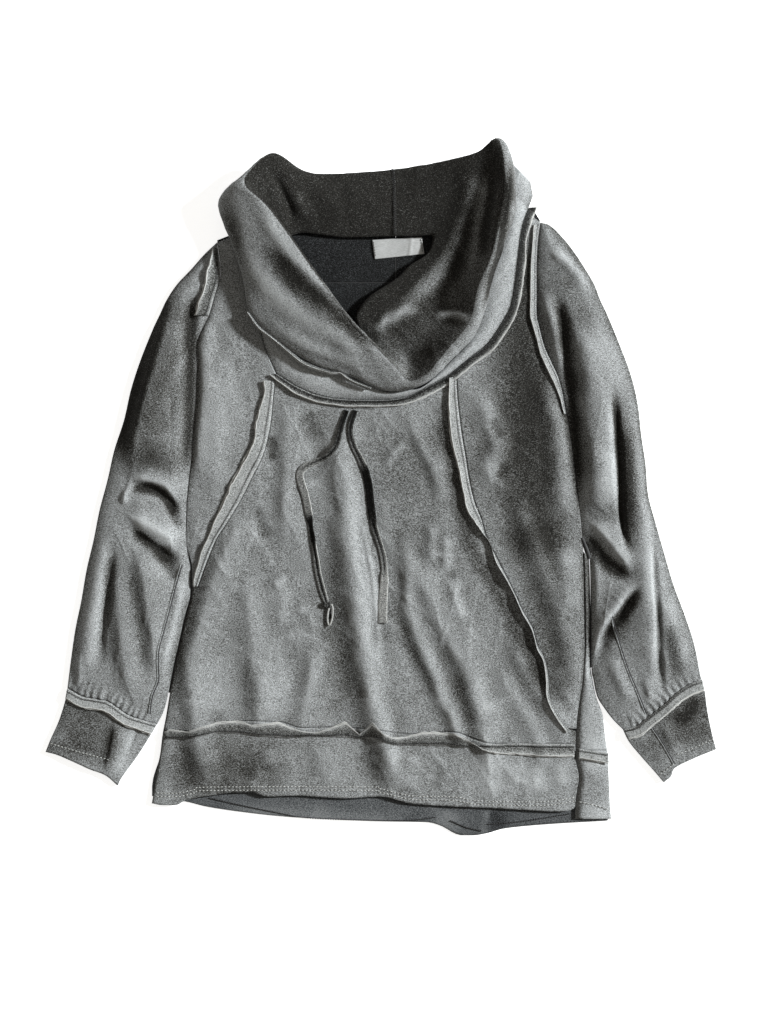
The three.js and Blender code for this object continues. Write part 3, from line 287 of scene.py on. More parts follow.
LEFT_SLEEVE_CREASES = [
    (9, 30, 8, [(-237, 222), (-243, 200), (-250, 180), (-262, 140), (-270, 110), (-277, 80), (-284, 50),
     (-289, 22)]),
    (-9, 8, 8, [(-212, 236), (-217, 180), (-217, 120), (-221, 60), (-224, 10)]),
    (2.5, 7, 6, [(-251, 208), (-263, 178), (-277, 138), (-288, 104), (-298, 58)]),
    (4, 16, 4, [(-292, 14), (-268, 12), (-255, 8), (-244, 2), (-237, -7), (-225, -18)]),
    (-4.5, 4, 6, [(-290, 2), (-268, 2), (-252, -3), (-242, -12), (-228, -30)]),
    (3, 5, 4, [(-281, 8), (-292, -6), (-293, -20)]),
    (-4.5, 7, 6, [(-243, -10), (-236, -32), (-229, -50)]),
    (4.5, 16, 6, [(-293, -26), (-275, -37), (-250, -51), (-226, -67)]),
    (-4.5, 5, 7, [(-291, -40), (-277, -54), (-257, -67), (-240, -77), (-223, -90)]),
    (5, 12, 12, [(-317, -40), (-322, -80), (-330, -130), (-338, -170), (-340, -210), (-338, -234)]),
    (-5, 5, 5, [(-307, -52), (-310, -90), (-314, -130), (-319, -170), (-322, -212)]),
    (5, 16, 9, [(-302, -92), (-300, -120), (-297, -150), (-293, -190), (-288, -220), (-280, -250)]),
    (3, 6, 5, [(-349, -188), (-344, -230)]),
    (5, 16, 8, [(-285, -58), (-275, -82), (-268, -112), (-264, -140), (-260, -166), (-257, -200),
     (-258, -228)]),
    (-6, 9, 7, [(-262, -66), (-243, -88), (-236, -112)]),
    (4, 6, 5, [(-227, -94), (-230, -125), (-237, -155), (-245, -190), (-248, -224)]),
    (3, 10, 8, [(-203, 268), (-213, 252), (-222, 236)]),
]
RIGHT_SLEEVE_CREASES = [
    (8.5, 24, 18, [(222, 200), (237, 166), (243, 115), (246, 38), (250, -10), (254, -38)]),
    (-7, 4, 5, [(268, 122), (272, 76), (275, 25), (276, -13), (278, -40), (282, -60), (290, -78)]),
    (7, 12, 18, [(288, 106), (297, 60), (301, 20), (304, -20), (306, -60), (309, -103), (311, -154),
     (309, -192), (304, -222)]),
    (-5, 4, 3, [(314, -44), (316, -103), (319, -154), (321, -205), (327, -244)]),
    (5, 9, 10, [(325, -112), (334, -145), (343, -178), (353, -212)]),
    (3, 7, 8, [(343, -126), (356, -160), (366, -192)]),
    (6.5, 12, 7, [(194, 278), (215, 259), (233, 240), (243, 226)]),
    (4.5, 8, 7, [(184, 240), (189, 215), (198, 187), (204, 153), (211, 125)]),
    (-7.5, 7, 6, [(200, 232), (208, 195), (213, 155), (218, 120), (223, 80), (226, 30), (229, -20)]),
    (4.5, 14, 5, [(236, -33), (252, -47), (266, -63), (280, -82), (292, -95)]),
    (-5, 6, 9, [(233, -48), (248, -72), (262, -88), (280, -99), (292, -101)]),
    (4, 4, 14, [(293, -104), (284, -116), (271, -136), (258, -151), (250, -167), (245, -185), (242, -205)]),
    (-6, 7, 4, [(300, -108), (290, -122), (277, -142), (265, -157), (257, -171), (251, -190), (247, -210)]),
    (4.5, 6, 5, [(244, -62), (246, -90), (246, -128), (243, -160)]),
    (3, 10, 8, [(262, -190), (276, -222), (290, -250)]),
    (2.5, 6, 5, [(304, -212), (312, -250)]),
]
LEFT_CUFF_CREASES = [
    (3, 16, 3, [(-303, -264), (-305, -286), (-311, -312), (-317, -330)]),
    (-1.6, 3, 3, [(-273, -268), (-284, -290), (-293, -316), (-300, -334)]),
    (1.8, 8, 6, [(-356, -246), (-364, -272), (-372, -296)]),
]
RIGHT_CUFF_CREASES = [
    (2.4, 8, 6, [(322, -262), (334, -290), (344, -310)]),
    (1.6, 8, 6, [(296, -282), (312, -312)]),
]
UNDER_CREASES = [
    (0.9, 12, 16, [(-60, 190), (-70, 60), (-96, -80)]),
    (0.8, 14, 10, [(60, 200), (74, 70), (60, -60), (86, -200)]),
    (0.9, 9, 12, [(-150, -40), (-120, -180), (-128, -280)]),
    (0.7, 12, 12, [(140, 40), (120, -90), (150, -230)]),
    (0.8, 10, 10, [(-10, -60), (-20, -200), (6, -290)]),
    (0.9, 12, 9, [(-250, 140), (-276, 20), (-290, -120)]),
    (0.8, 9, 9, [(262, 120), (284, 0), (300, -150)]),
    (0.7, 8, 8, [(-300, -60), (-320, -200)]),
    (0.7, 8, 8, [(322, -80), (346, -200)]),
]

# On the cowl a last value says which layer: 1 outside, -1 inside
COWL_CREASES = [
    (2, 16, 10, [(-166, 300), (-150, 256), (-104, 210), (-50, 174), (2, 134)], 1),
    (-1.7, 11, 11, [(-134, 284), (-98, 236), (-50, 199), (4, 154)], 1),
    (1.6, 7, 5, [(-128, 196), (-92, 168), (-50, 150), (-10, 134)], 1),
    (-1.6, 8, 8, [(-178, 320), (-162, 276), (-150, 236)], 1),
    (1.4, 6, 5, [(-140, 318), (-110, 276), (-84, 240)], 1),
    (1.2, 5, 4, [(-104, 236), (-70, 206), (-40, 190)], 1),
    (-2.6, 6, 5, [(-130, 376), (-116, 348), (-104, 322), (-96, 288)], -1),
    (1.6, 9, 7, [(-112, 366), (-98, 340), (-82, 312), (-74, 296)], -1),
    (-1.4, 8, 8, [(-92, 358), (-78, 328), (-66, 302)], -1),
    (1.2, 9, 9, [(-62, 356), (-54, 330), (-48, 302)], -1),
    (1.1, 11, 9, [(-30, 356), (-27, 302)], -1),
    (3, 6, 6, [(-26, 174), (0, 188), (20, 199), (46, 211)], -1),
    (3.4, 14, 12, [(18, 205), (50, 232), (74, 262), (92, 300), (104, 340), (114, 386)], -1),
    (-2.6, 5, 7, [(108, 236), (115, 270), (121, 310), (128, 350), (132, 378)], -1),
    (-1.8, 4, 4, [(121, 218), (127, 240), (136, 271), (141, 308), (147, 350)], 1),
    (1.6, 7, 6, [(134, 226), (146, 262), (150, 300), (154, 340)], 1),
    (2, 5, 5, [(58, 195), (84, 199), (107, 189)], -1),
]

# Painted light and shade in the same form: below zero darker, painted shade in folds, hollows and cast
# shadows; above it lighter, painted light on lit ridges and faces
FRONT_SHADING = [
    (-1.6, 44, 40, [(160, 300), (168, 150), (172, 60), (174, -20), (180, -90)]),
    (-0.85, 36, 34, [(172, -30), (182, -110), (198, -190), (206, -262)]),
    (-1, 9, 9, [(73, 112), (72, 64), (80, 38), (88, 8), (92, -22), (99, -50), (111, -80), (123, -100),
     (139, -126), (151, -152), (168, -186), (184, -226), (190, -250)]),
    (0.25, 11, 9, [(-38, 56), (-36, 20), (-29, -30), (-22, -80), (-14, -130), (-9, -180), (-2, -230)]),
    (-0.55, 14, 26, [(-60, -50), (-56, -110), (-50, -160), (-40, -210), (-28, -270)]),
    (-0.45, 52, 48, [(34, 90), (32, 10), (36, -60), (30, -110)]),
    (-0.8, 13, 14, [(-78, 94), (-74, 52)]),
    (-0.7, 14, 14, [(-6, -288), (10, -350)]),
    (-0.9, 10, 12, [(88, -204), (100, -250), (106, -284)]),
    (-0.8, 6, 6, [(18, -125), (24, -150), (38, -182), (56, -214), (74, -250)]),
    (-0.7, 9, 9, [(-184, -70), (-205, -120), (-226, -190), (-230, -270)]),
    (-0.6, 8, 8, [(-150, -190), (-145, -264)]),
    (-0.5, 8, 8, [(-126, 66), (-124, 26)]),
    (0.5, 9, 9, [(-34, 20), (-26, -60), (-14, -120), (-12, -180)]),
    (0.5, 18, 18, [(-186, -190), (-188, -264)]),
    (0.45, 18, 18, [(-112, -190), (-112, -262)]),
    (-1.1, 34, 34, [(-262, -320), (-180, -322), (-96, -322)]),
    (0.6, 22, 22, [(80, -330), (140, -330), (220, -334)]),
    (0.3, 22, 22, [(-172, 140), (-178, 40)]),
    (0.5, 8, 8, [(110, -210), (124, -266)]),
]
LEFT_SLEEVE_SHADING = [
    (-1.5, 3, 14, [(-238, 226), (-250, 180), (-264, 130), (-278, 80), (-292, 8)]),
    (0.9, 3, 3, [(-293, 8), (-282, 12), (-268, 11), (-255, 7), (-244, 1), (-235, -9)]),
    (-1.6, 4, 5, [(-289, -1), (-268, 2), (-252, -4), (-242, -13), (-230, -34)]),
    (0.9, 3, 3, [(-293, -26), (-275, -38), (-250, -52), (-228, -72)]),
    (-1.5, 5, 5, [(-290, -42), (-270, -55), (-250, -72), (-234, -94)]),
    (-1.1, 30, 24, [(-230, 240), (-244, 160), (-262, 80), (-268, -10)]),
    (-1.2, 7, 8, [(-214, 224), (-217, 150), (-219, 70), (-223, 4)]),
    (-0.9, 8, 12, [(-248, 196), (-270, 140), (-288, 80), (-300, 20)]),
    (-1.2, 5, 6, [(-288, 0), (-262, 0), (-246, -8), (-238, -28), (-230, -46)]),
    (-1, 6, 6, [(-288, -46), (-270, -60), (-250, -82), (-238, -104)]),
    (-0.9, 7, 7, [(-308, -60), (-308, -110), (-308, -160), (-306, -215)]),
    (-0.9, 7, 7, [(-284, -70), (-280, -120), (-272, -170), (-266, -222)]),
    (0.6, 9, 9, [(-284, -32), (-258, -50), (-232, -68)]),
    (0.5, 6, 6, [(-318, -60), (-330, -150), (-332, -225)]),
]
RIGHT_SLEEVE_SHADING = [
    (-1.5, 13, 3, [(266, 124), (271, 60), (275, 0), (280, -44), (292, -84)]),
    (0.7, 3, 8, [(262, 110), (267, 56), (270, 0), (274, -40)]),
    (0.9, 3, 3, [(230, -27), (252, -46), (266, -62), (280, -81), (294, -97)]),
    (-1.4, 4, 6, [(233, -44), (250, -68), (268, -86), (289, -101)]),
    (0.8, 3, 3, [(294, -103), (284, -115), (271, -135), (258, -150), (250, -166), (243, -200)]),
    (-1.3, 9, 3, [(301, -108), (289, -123), (276, -143), (264, -159), (254, -182)]),
    (-1.2, 10, 12, [(284, 90), (285, 40), (286, -10), (286, -60)]),
    (-1, 12, 12, [(288, -110), (280, -150), (262, -185)]),
    (-0.6, 26, 20, [(196, 256), (206, 200), (214, 150)]),
    (-1.4, 8, 8, [(206, 222), (213, 160), (219, 110), (225, 40), (229, -20)]),
    (-0.4, 13, 12, [(195, 258), (212, 244), (226, 230)]),
    (-0.5, 9, 9, [(222, 170), (226, 100), (232, 40), (236, -10)]),
    (-1.1, 7, 8, [(236, -46), (250, -78), (272, -96), (290, -102)]),
    (-1, 10, 8, [(330, -150), (336, -190), (344, -226)]),
    (0.6, 8, 8, [(258, 60), (262, -30)]),
    (0.5, 7, 7, [(306, -60), (311, -150)]),
]
LEFT_CUFF_SHADING = [
    (-1, 60, 60, [(-336, -236), (-346, -320)]),
    (0.9, 9, 9, [(-282, -266), (-290, -300), (-299, -336)]),
    (-0.9, 5, 9, [(-302, -264), (-306, -290), (-314, -328)]),
    (0.4, 8, 8, [(-366, -262), (-376, -298)]),
]
RIGHT_CUFF_SHADING = [
    (-1, 50, 50, [(350, -222), (362, -306)]),
    (-1.2, 7, 7, [(334, -256), (350, -262), (366, -236)]),
    (-0.5, 7, 7, [(304, -282), (322, -318)]),
]
COWL_SHADING = [
    (-2.2, 3.5, 4, [(112, 196), (121, 218), (127, 240), (136, 271), (141, 308), (147, 350), (149, 384)], 1),
    (-0.8, 20, 20, [(124, 190), (140, 240), (150, 290), (158, 340), (164, 372)], 1),
    (1.3, 2, 2, [(117, 196), (126, 226), (132, 250), (141, 275), (146, 300)], 1),
    (-1.4, 15, 13, [(-134, 284), (-98, 236), (-50, 197), (6, 152)], 1),
    (-0.7, 12, 10, [(-182, 330), (-172, 306), (-156, 250)], 1),
    (0.6, 14, 14, [(-148, 240), (-100, 196), (-40, 152)], 1),
    (0.7, 5, 5, [(-150, 344), (-110, 290), (-66, 228), (-20, 174), (16, 138)], 1),
    (-1.3, 30, 26, [(30, 366), (40, 330), (48, 286)], -1),
    (1.4, 13, 14, [(104, 226), (110, 262), (116, 312), (122, 352), (127, 378)], -1),
    (-1, 3, 4, [(112, 262), (119, 300), (128, 345), (134, 376)], -1),
    (-0.6, 8, 8, [(12, 204), (34, 232), (50, 262)], -1),
    (-0.6, 14, 14, [(38, 126), (60, 158), (92, 184)], -1),
    (0.6, 8, 8, [(26, 166), (27, 122)], -1),
    (0.8, 4, 4, [(-22, 177), (0, 188), (20, 200), (44, 210)], -1),
    (0.5, 4, 4, [(58, 195), (84, 199), (107, 189)], -1),
    (0.25, 12, 11, [(24, 196), (52, 224), (78, 262), (94, 300), (106, 344), (114, 386)], -1),
    (0.6, 6, 6, [(-96, 344), (-78, 312)], -1),
    (-0.7, 50, 50, [(-100, 340), (0, 330)], -1),
]
WRAP_SHADING = [
    (-1, 12, 12, [(246, -316), (250, -372)]),
    (-2, 16, 16, [(239, -40), (240, -100), (240, -170), (242, -214)]),
    (-0.6, 16, 16, [(244, -200), (250, -300)]),
]
BACK_HEM_SHADING = [
    (1, 16, 16, [(70, -400), (76, -386), (84, -366)]),
    (1.2, 3, 3, [(120, -402), (121, -386), (123, -362)]),
    (-0.9, 12, 12, [(132, -396), (134, -366)]),
    (0.8, 9, 30, [(-190, -366), (-110, -374), (-20, -380), (40, -382)]),
    (0.5, 14, 14, [(-70, -390), (-66, -356)]),
]

# Sleeve and cuff outlines, each read from the body outwards or down the sleeve
LEFT_SLEEVE = {
    "side": -1,
    "inner": [(-223, -61), (-221, -75), (-218, -90), (-218, -119), (-220, -130), (-225, -148), (-231, -175),
        (-238, -206), (-244, -238), (-249, -256), (-256, -270)],
    "outer": [(-187, 284), (-202, 269), (-217, 252), (-233, 235), (-245, 217), (-253, 200), (-261, 183),
        (-275, 148), (-286, 114), (-294, 79), (-305, 45), (-313, 10), (-322, -24), (-329, -59), (-337, -93),
        (-343, -128), (-350, -162), (-355, -197), (-359, -229)],
    "seam": [(-256, -270), (-270, -266), (-288, -260), (-300, -252), (-312, -244), (-326, -241),
        (-342, -238), (-359, -229)],
    "cuff_inner": [(-256, -270), (-265, -285), (-279, -307), (-297, -332), (-301, -341)],
    "cuff_outer": [(-359, -229), (-362, -245), (-369, -267), (-378, -287), (-384, -302)],
    "opening": [(-301, -341), (-315, -329), (-333, -322), (-346, -316), (-369, -306), (-384, -302)],
    "creases": LEFT_SLEEVE_CREASES,
    "cuff_creases": LEFT_CUFF_CREASES,
    "shading": LEFT_SLEEVE_SHADING,
    "cuff_shading": LEFT_CUFF_SHADING,
}
RIGHT_SLEEVE = {
    "side": 1,
    "inner": [(233, -61), (240.5, -70), (242, -100), (243, -150), (243, -205), (245, -218), (249.5, -238),
        (258, -252), (268, -265), (279, -276)],
    "outer": [(184, 308), (196, 302), (212, 286), (225, 269), (236, 252), (246, 235), (253, 217),
        (261, 200), (275, 166), (288, 131), (296, 97), (300, 62), (305, 28), (308, -7), (317, -41),
        (327, -76), (337, -110), (350, -145), (361, -179), (368, -214), (370, -219)],
    "seam": [(279, -276), (294, -272), (307, -262), (325, -248), (343, -232), (358, -223), (370, -219)],
    "cuff_inner": [(279, -276), (286, -290), (299, -306), (315, -324), (326, -337)],
    "cuff_outer": [(370, -219), (373, -232), (376, -255), (381, -280), (386, -299)],
    "opening": [(326, -337), (334, -330), (339, -320), (361, -309), (386, -299)],
    "creases": RIGHT_SLEEVE_CREASES,
    "cuff_creases": RIGHT_CUFF_CREASES,
    "shading": RIGHT_SLEEVE_SHADING,
    "cuff_shading": RIGHT_CUFF_SHADING,
}

# Free ends of the drawstring. Down each route, by share of its length: width in millimetres, turn of
# the flat tape in degrees, tone, and how far its middle is pinched and painted dark as if parted in two.
# The tone is painted shade near the neck, where the collar shades the tape, and on the turned stretches.
CORDS = [
    {
        "name": "drawstring_tape_left",
        "node": "drawstring_left",
        "route": LEFT_TAPE,
        "diameter": 0.007,
        "far_end": "knot",
        "widths": [(0, 6), (0.25, 7), (0.4, 9), (0.54, 8.5), (0.58, 5.5), (0.66, 6.5), (0.75, 7.5), (0.9, 7),
                   (0.94, 3), (1, 2)],
        "turns": [(0, 20), (0.3, 0), (0.5, 10), (0.6, 30), (0.68, 30), (0.76, 10), (1, 0)],
        "tones": [(0, -1.8), (0.1, -1.2), (0.2, -0.6), (0.3, -0.3), (0.4, 0), (0.53, 0), (0.56, -2),
                  (0.63, -2), (0.67, -0.2), (0.92, -0.2), (0.94, -2), (1, -2)],
        "slits": [(0, 0.6), (0.3, 0.5), (0.36, 0), (0.62, 0), (0.66, 1), (0.93, 1), (0.95, 0), (1, 0)],
    },
    {
        "name": "drawstring_tape_right",
        "node": "drawstring_right",
        "route": RIGHT_TAPE,
        "diameter": 0.008,
        "far_end": "bare",
        "widths": [(0, 6), (0.2, 7), (0.3, 9.5), (0.5, 10), (0.6, 7), (0.75, 7), (0.82, 10), (1, 10.5)],
        "turns": [(0, 0), (0.24, 10), (0.3, 25), (0.46, 25), (0.55, 20), (0.7, 0), (1, 0)],
        "tones": [(0, -1.8), (0.1, -1.2), (0.16, -0.6), (0.26, -0.4), (0.3, -2), (0.5, -2), (0.55, -0.6),
                  (0.75, -0.2), (0.82, 0.2), (1, 0.2)],
        "slits": [(0, 0.6), (0.26, 0.6), (0.3, 0), (0.5, 0), (0.55, 0.7), (0.74, 0.6), (0.8, 0), (1, 0)],
    },
]


# Lines, noise and relief


def lerp(a, b, share):
    return a + (b - a) * share


def smoothstep(value):
    value = np.clip(value, 0, 1)
    return value * value * (3 - 2 * value)


def unit(vectors):
    """The same directions at length one."""
    return vectors / (np.linalg.norm(vectors, axis=-1, keepdims=True) + TINY)


def directions(points):
    return unit(np.gradient(points, axis=0))


def to_right(way):
    """Directions on the sheet, turned a quarter to the right."""
    return np.column_stack([way[:, 1], -way[:, 0]])


def lengths_along(points):
    steps = np.linalg.norm(np.diff(points, axis=0), axis=1)
    return np.concatenate([[0], np.cumsum(steps)])


def read_table(where, table):
    """Value between the rows of a table of places and values."""
    return np.interp(where, *zip(*table))


def hermite(start, end, leave, arrive, t):
    """Point at share t of a cubic, from its two ends and its slopes there."""
    return (
        (2 * t**3 - 3 * t**2 + 1) * start + (t**3 - 2 * t**2 + t) * leave
        + (3 * t**2 - 2 * t**3) * end + (t**3 - t**2) * arrive
    )


def catmull(before, start, end, after, t):
    return hermite(start, end, (end - before) / 2, (after - start) / 2, t)


def curve(points, key=1):
    """Smooth single-valued curve through the points that never swings past them."""
    rows = np.array(sorted(points, key=lambda point: point[key]), float)
    at, value = rows[:, key], rows[:, 1 - key]
    width = np.diff(at)
    slope = np.diff(value) / width
    product = slope[:-1] * slope[1:]
    total = np.where(product > 0, slope[:-1] + slope[1:], 1)
    tangent = np.zeros_like(at)
    tangent[1:-1] = np.where(product > 0, 2 * product / total, 0)
    tangent[0], tangent[-1] = slope[0], slope[-1]

    def read(where):
        where = np.clip(where, at[0], at[-1])
        i = np.clip(np.searchsorted(at, where) - 1, 0, len(width) - 1)
        t = (where - at[i]) / width[i]
        return hermite(value[i], value[i + 1], width[i] * tangent[i], width[i] * tangent[i + 1], t)

    return read


left_edge, right_seam, right_fold = curve(LEFT_EDGE), curve(RIGHT_SEAM), curve(RIGHT_FOLD)
left_princess, right_princess = curve(LEFT_PRINCESS), curve(RIGHT_PRINCESS)
left_neck, right_neck = curve(LEFT_NECK), curve(RIGHT_NECK)
neck_line, hem_seam, front_hem, back_hem, back_neck = (
    curve(line, 0) for line in (NECK, HEM_SEAM, FRONT_HEM, BACK_HEM, BACK_NECK)
)


def down(edge, start, end, count, aside=0.0):
    """Points of an edge at even levels."""
    levels = np.linspace(start, end, count)
    return np.column_stack([edge(levels) + aside, levels])


def across_neck(count):
    x = np.linspace(NECK_LEFT, NECK_RIGHT, count)
    return np.column_stack([x, neck_line(x)])


def rounded(points, fine=10):
    """Points of a polyline, rounded by a curve through them."""
    points = np.array(points, float)
    padded = np.vstack([2 * points[0] - points[1], points, 2 * points[-1] - points[-2]])
    t = np.linspace(0, 1, fine, endpoint=False)[:, None]
    spans = [catmull(*padded[i:i + 4], t) for i in range(len(points) - 1)]
    return np.vstack(spans + [points[-1:]])


class Path:
    """Line that gives its point at any share of its length."""

    def __init__(self, points, smooth=True):
        self.points = rounded(points) if smooth else np.array(points, float)
        self.lengths = lengths_along(self.points)
        self.length = self.lengths[-1]

    def at(self, share):
        place = np.asarray(share) * self.length
        return np.stack([np.interp(place, self.lengths, column) for column in self.points.T], -1)


def measure(x, y, line):
    """Distance from a polyline, side of it (above zero on its left) and share along it."""
    line = np.array(line, float)
    starts = lengths_along(line)
    nearest = np.full(np.shape(x), np.inf)
    side = np.zeros(np.shape(x))
    along = np.zeros(np.shape(x))
    for i, span in enumerate(np.diff(starts)):
        dx, dy = (line[i + 1] - line[i]) / span
        px, py = x - line[i][0], y - line[i][1]
        t = np.clip(px * dx + py * dy, 0, span)
        away = np.hypot(px - t * dx, py - t * dy)
        closer = away < nearest
        nearest = np.where(closer, away, nearest)
        side = np.where(closer, np.sign(dx * py - dy * px), side)
        along = np.where(closer, (starts[i] + t) / starts[-1], along)
    return nearest, side, along


def near(x, y, lines):
    return np.min([measure(x, y, line)[0] for line in lines], axis=0)


# Random values repeat after so many squares, which are counted from far outside the sheet
NOISE_SQUARES = 63
NOISE_START = 640


def noise(x, y, cell, seed):
    """Smooth random values between -1 and 1 over squares of one size."""
    grid = np.random.default_rng(seed).uniform(-1, 1, (NOISE_SQUARES + 1, NOISE_SQUARES + 1))
    u, v = np.asarray(x) / cell + NOISE_START, np.asarray(y) / cell + NOISE_START
    i, j = np.floor(u).astype(int), np.floor(v).astype(int)
    s, t = smoothstep(u - i), smoothstep(v - j)
    i, j = i % NOISE_SQUARES, j % NOISE_SQUARES
    return lerp(lerp(grid[i, j], grid[i + 1, j], s), lerp(grid[i, j + 1], grid[i + 1, j + 1], s), t)


def crease_rise(x, y, creases, layer=None):
    """Rise of a table of creases at each point, or depth of a table of painted light and shade patches."""
    rise = np.zeros(np.shape(x))
    chosen = [row[:4] for row in creases if layer is None or row[4] == layer]
    for index, (height, reach_left, reach_right, line) in enumerate(chosen):
        drawn = rounded(line, 4) if len(line) > 2 else np.array(line, float)
        away, side, along = measure(x, y, drawn)
        length = lengths_along(drawn)[-1]
        wander = 1 + WANDER * noise(x, y, WANDER_CELL, 40 + index)
        reach = np.where(side > 0, reach_left, reach_right) * wander
        from_end = np.minimum(along, 1 - along) * length
        taper = smoothstep(from_end / min(TAPER, TAPER_SHARE * length))
        rise += height * np.exp(-((away / reach) ** 2)) * taper
    return rise


# Soft wrinkles: share, narrowing across and along, cell. Sharp ones: turn in radians, cell.
SOFT_WRINKLES = [(0.35, 2.6, 1.0, 60), (0.25, 2.2, 1.2, 30)]
SHARP_WRINKLES = [(0.35, 58), (-0.45, 50), (0.75, 44), (-0.05, 40)]
SHARP_SHARE = 0.6
SHARPNESS = 12


def fine_creases(x, y, strength, seed, lean=0.12):
    """Small soft wrinkles that run mostly down the cloth, with thin sharp ones among them."""
    across = x + lean * y
    rise = 0
    for index, (share, narrow, short, cell) in enumerate(SOFT_WRINKLES):
        rise = rise + share * noise(across * narrow, y * short, cell, seed + index)
    for index, (turn, cell) in enumerate(SHARP_WRINKLES):
        u = (across * math.cos(turn) + y * math.sin(turn)) * 1.7
        v = (y * math.cos(turn) - across * math.sin(turn)) * 0.55
        ridge = 1 - np.abs(noise(u + 0.4 * v, v, cell, seed + 3 + index))
        shown = smoothstep(0.45 + 1.3 * noise(x, y, 80, seed + 7 + index))
        rise = rise + SHARP_SHARE * ridge**SHARPNESS * shown
    return strength * rise


BODY_EDGES = [LEFT_EDGE, RIGHT_SEAM, [(-168, 293), (-187, 284)], [(171, 323), (184, 308)]]
NECK_EDGES = [LEFT_NECK, NECK, RIGHT_NECK]


def domed(x, y, crown, edges, rounding):
    """Height of a crown above the flat edge, rolled down softly towards its edges."""
    edge = 1 - np.exp(-near(x, y, edges) / rounding)
    return EDGE_TOP + np.logaddexp(0, SOFTNESS * crown * edge) / SOFTNESS


def front_height(x, y):
    at_neck = np.exp(-((near(x, y, NECK_EDGES) / NECK_REACH) ** 2))
    crown = FRONT_TOP - EDGE_TOP + NECK_RISE * at_neck + crease_rise(x, y, FRONT_CREASES)
    return domed(x, y, crown + fine_creases(x, y, 1.1, 7) * (1 - at_neck), BODY_EDGES, SEAM_ROUNDING)


def sleeve_outline(sleeve):
    armhole = LEFT_EDGE if sleeve["side"] < 0 else RIGHT_SEAM
    above = [point for point in armhole if point[1] >= UNDERARM]
    return [above] + [sleeve[key] for key in ("inner", "outer", "cuff_inner", "cuff_outer")]


def on_sleeve(sleeve):
    """Height of a sleeve's upper face, gathered where the cuff is sewn on."""

    def height(x, y):
        away, _, along = measure(x, y, sleeve["seam"])
        crown = lerp(CUFF_CROWN, SLEEVE_CROWN, np.minimum(1, away / CUFF_REACH))
        crown = crown + crease_rise(x, y, sleeve["creases"])
        crown = crown + fine_creases(x, y, 1.1, 17, 0.12 * sleeve["side"])
        turn = 2 * math.pi * GATHERS * along + 2.4 * noise(x, y, 18, 23)
        gathers = GATHER_RISE * np.exp(-((away / GATHER_REACH) ** 2)) * np.sin(turn)
        return domed(x, y, crown + gathers, sleeve_outline(sleeve), EDGE_ROUNDING)

    return height


def on_cuff(sleeve):
    def height(x, y):
        crown = CUFF_CROWN + crease_rise(x, y, sleeve["cuff_creases"]) + 0.6 * noise(x, y, 22, 5)
        return domed(x, y, crown, sleeve_outline(sleeve), EDGE_ROUNDING)

    return height


def on_level(level):
    return lambda x, y: level + 0 * x


def under_relief(x, y):
    """Soft hollows of the underside, which still rests flat between them."""
    return np.maximum(0, crease_rise(x, y, UNDER_CREASES) + 0.25 * noise(x, y, 40, 91))


# Cloth


def add_to_scene(name, data):
    item = bpy.data.objects.new(name, data)
    bpy.context.scene.collection.objects.link(item)
    return item


def cells_of(number):
    """Four-cornered faces between the numbered points of a grid."""
    return np.stack([number[:-1, :-1], number[:-1, 1:], number[1:, 1:], number[1:, :-1]], -1).reshape(-1, 4)


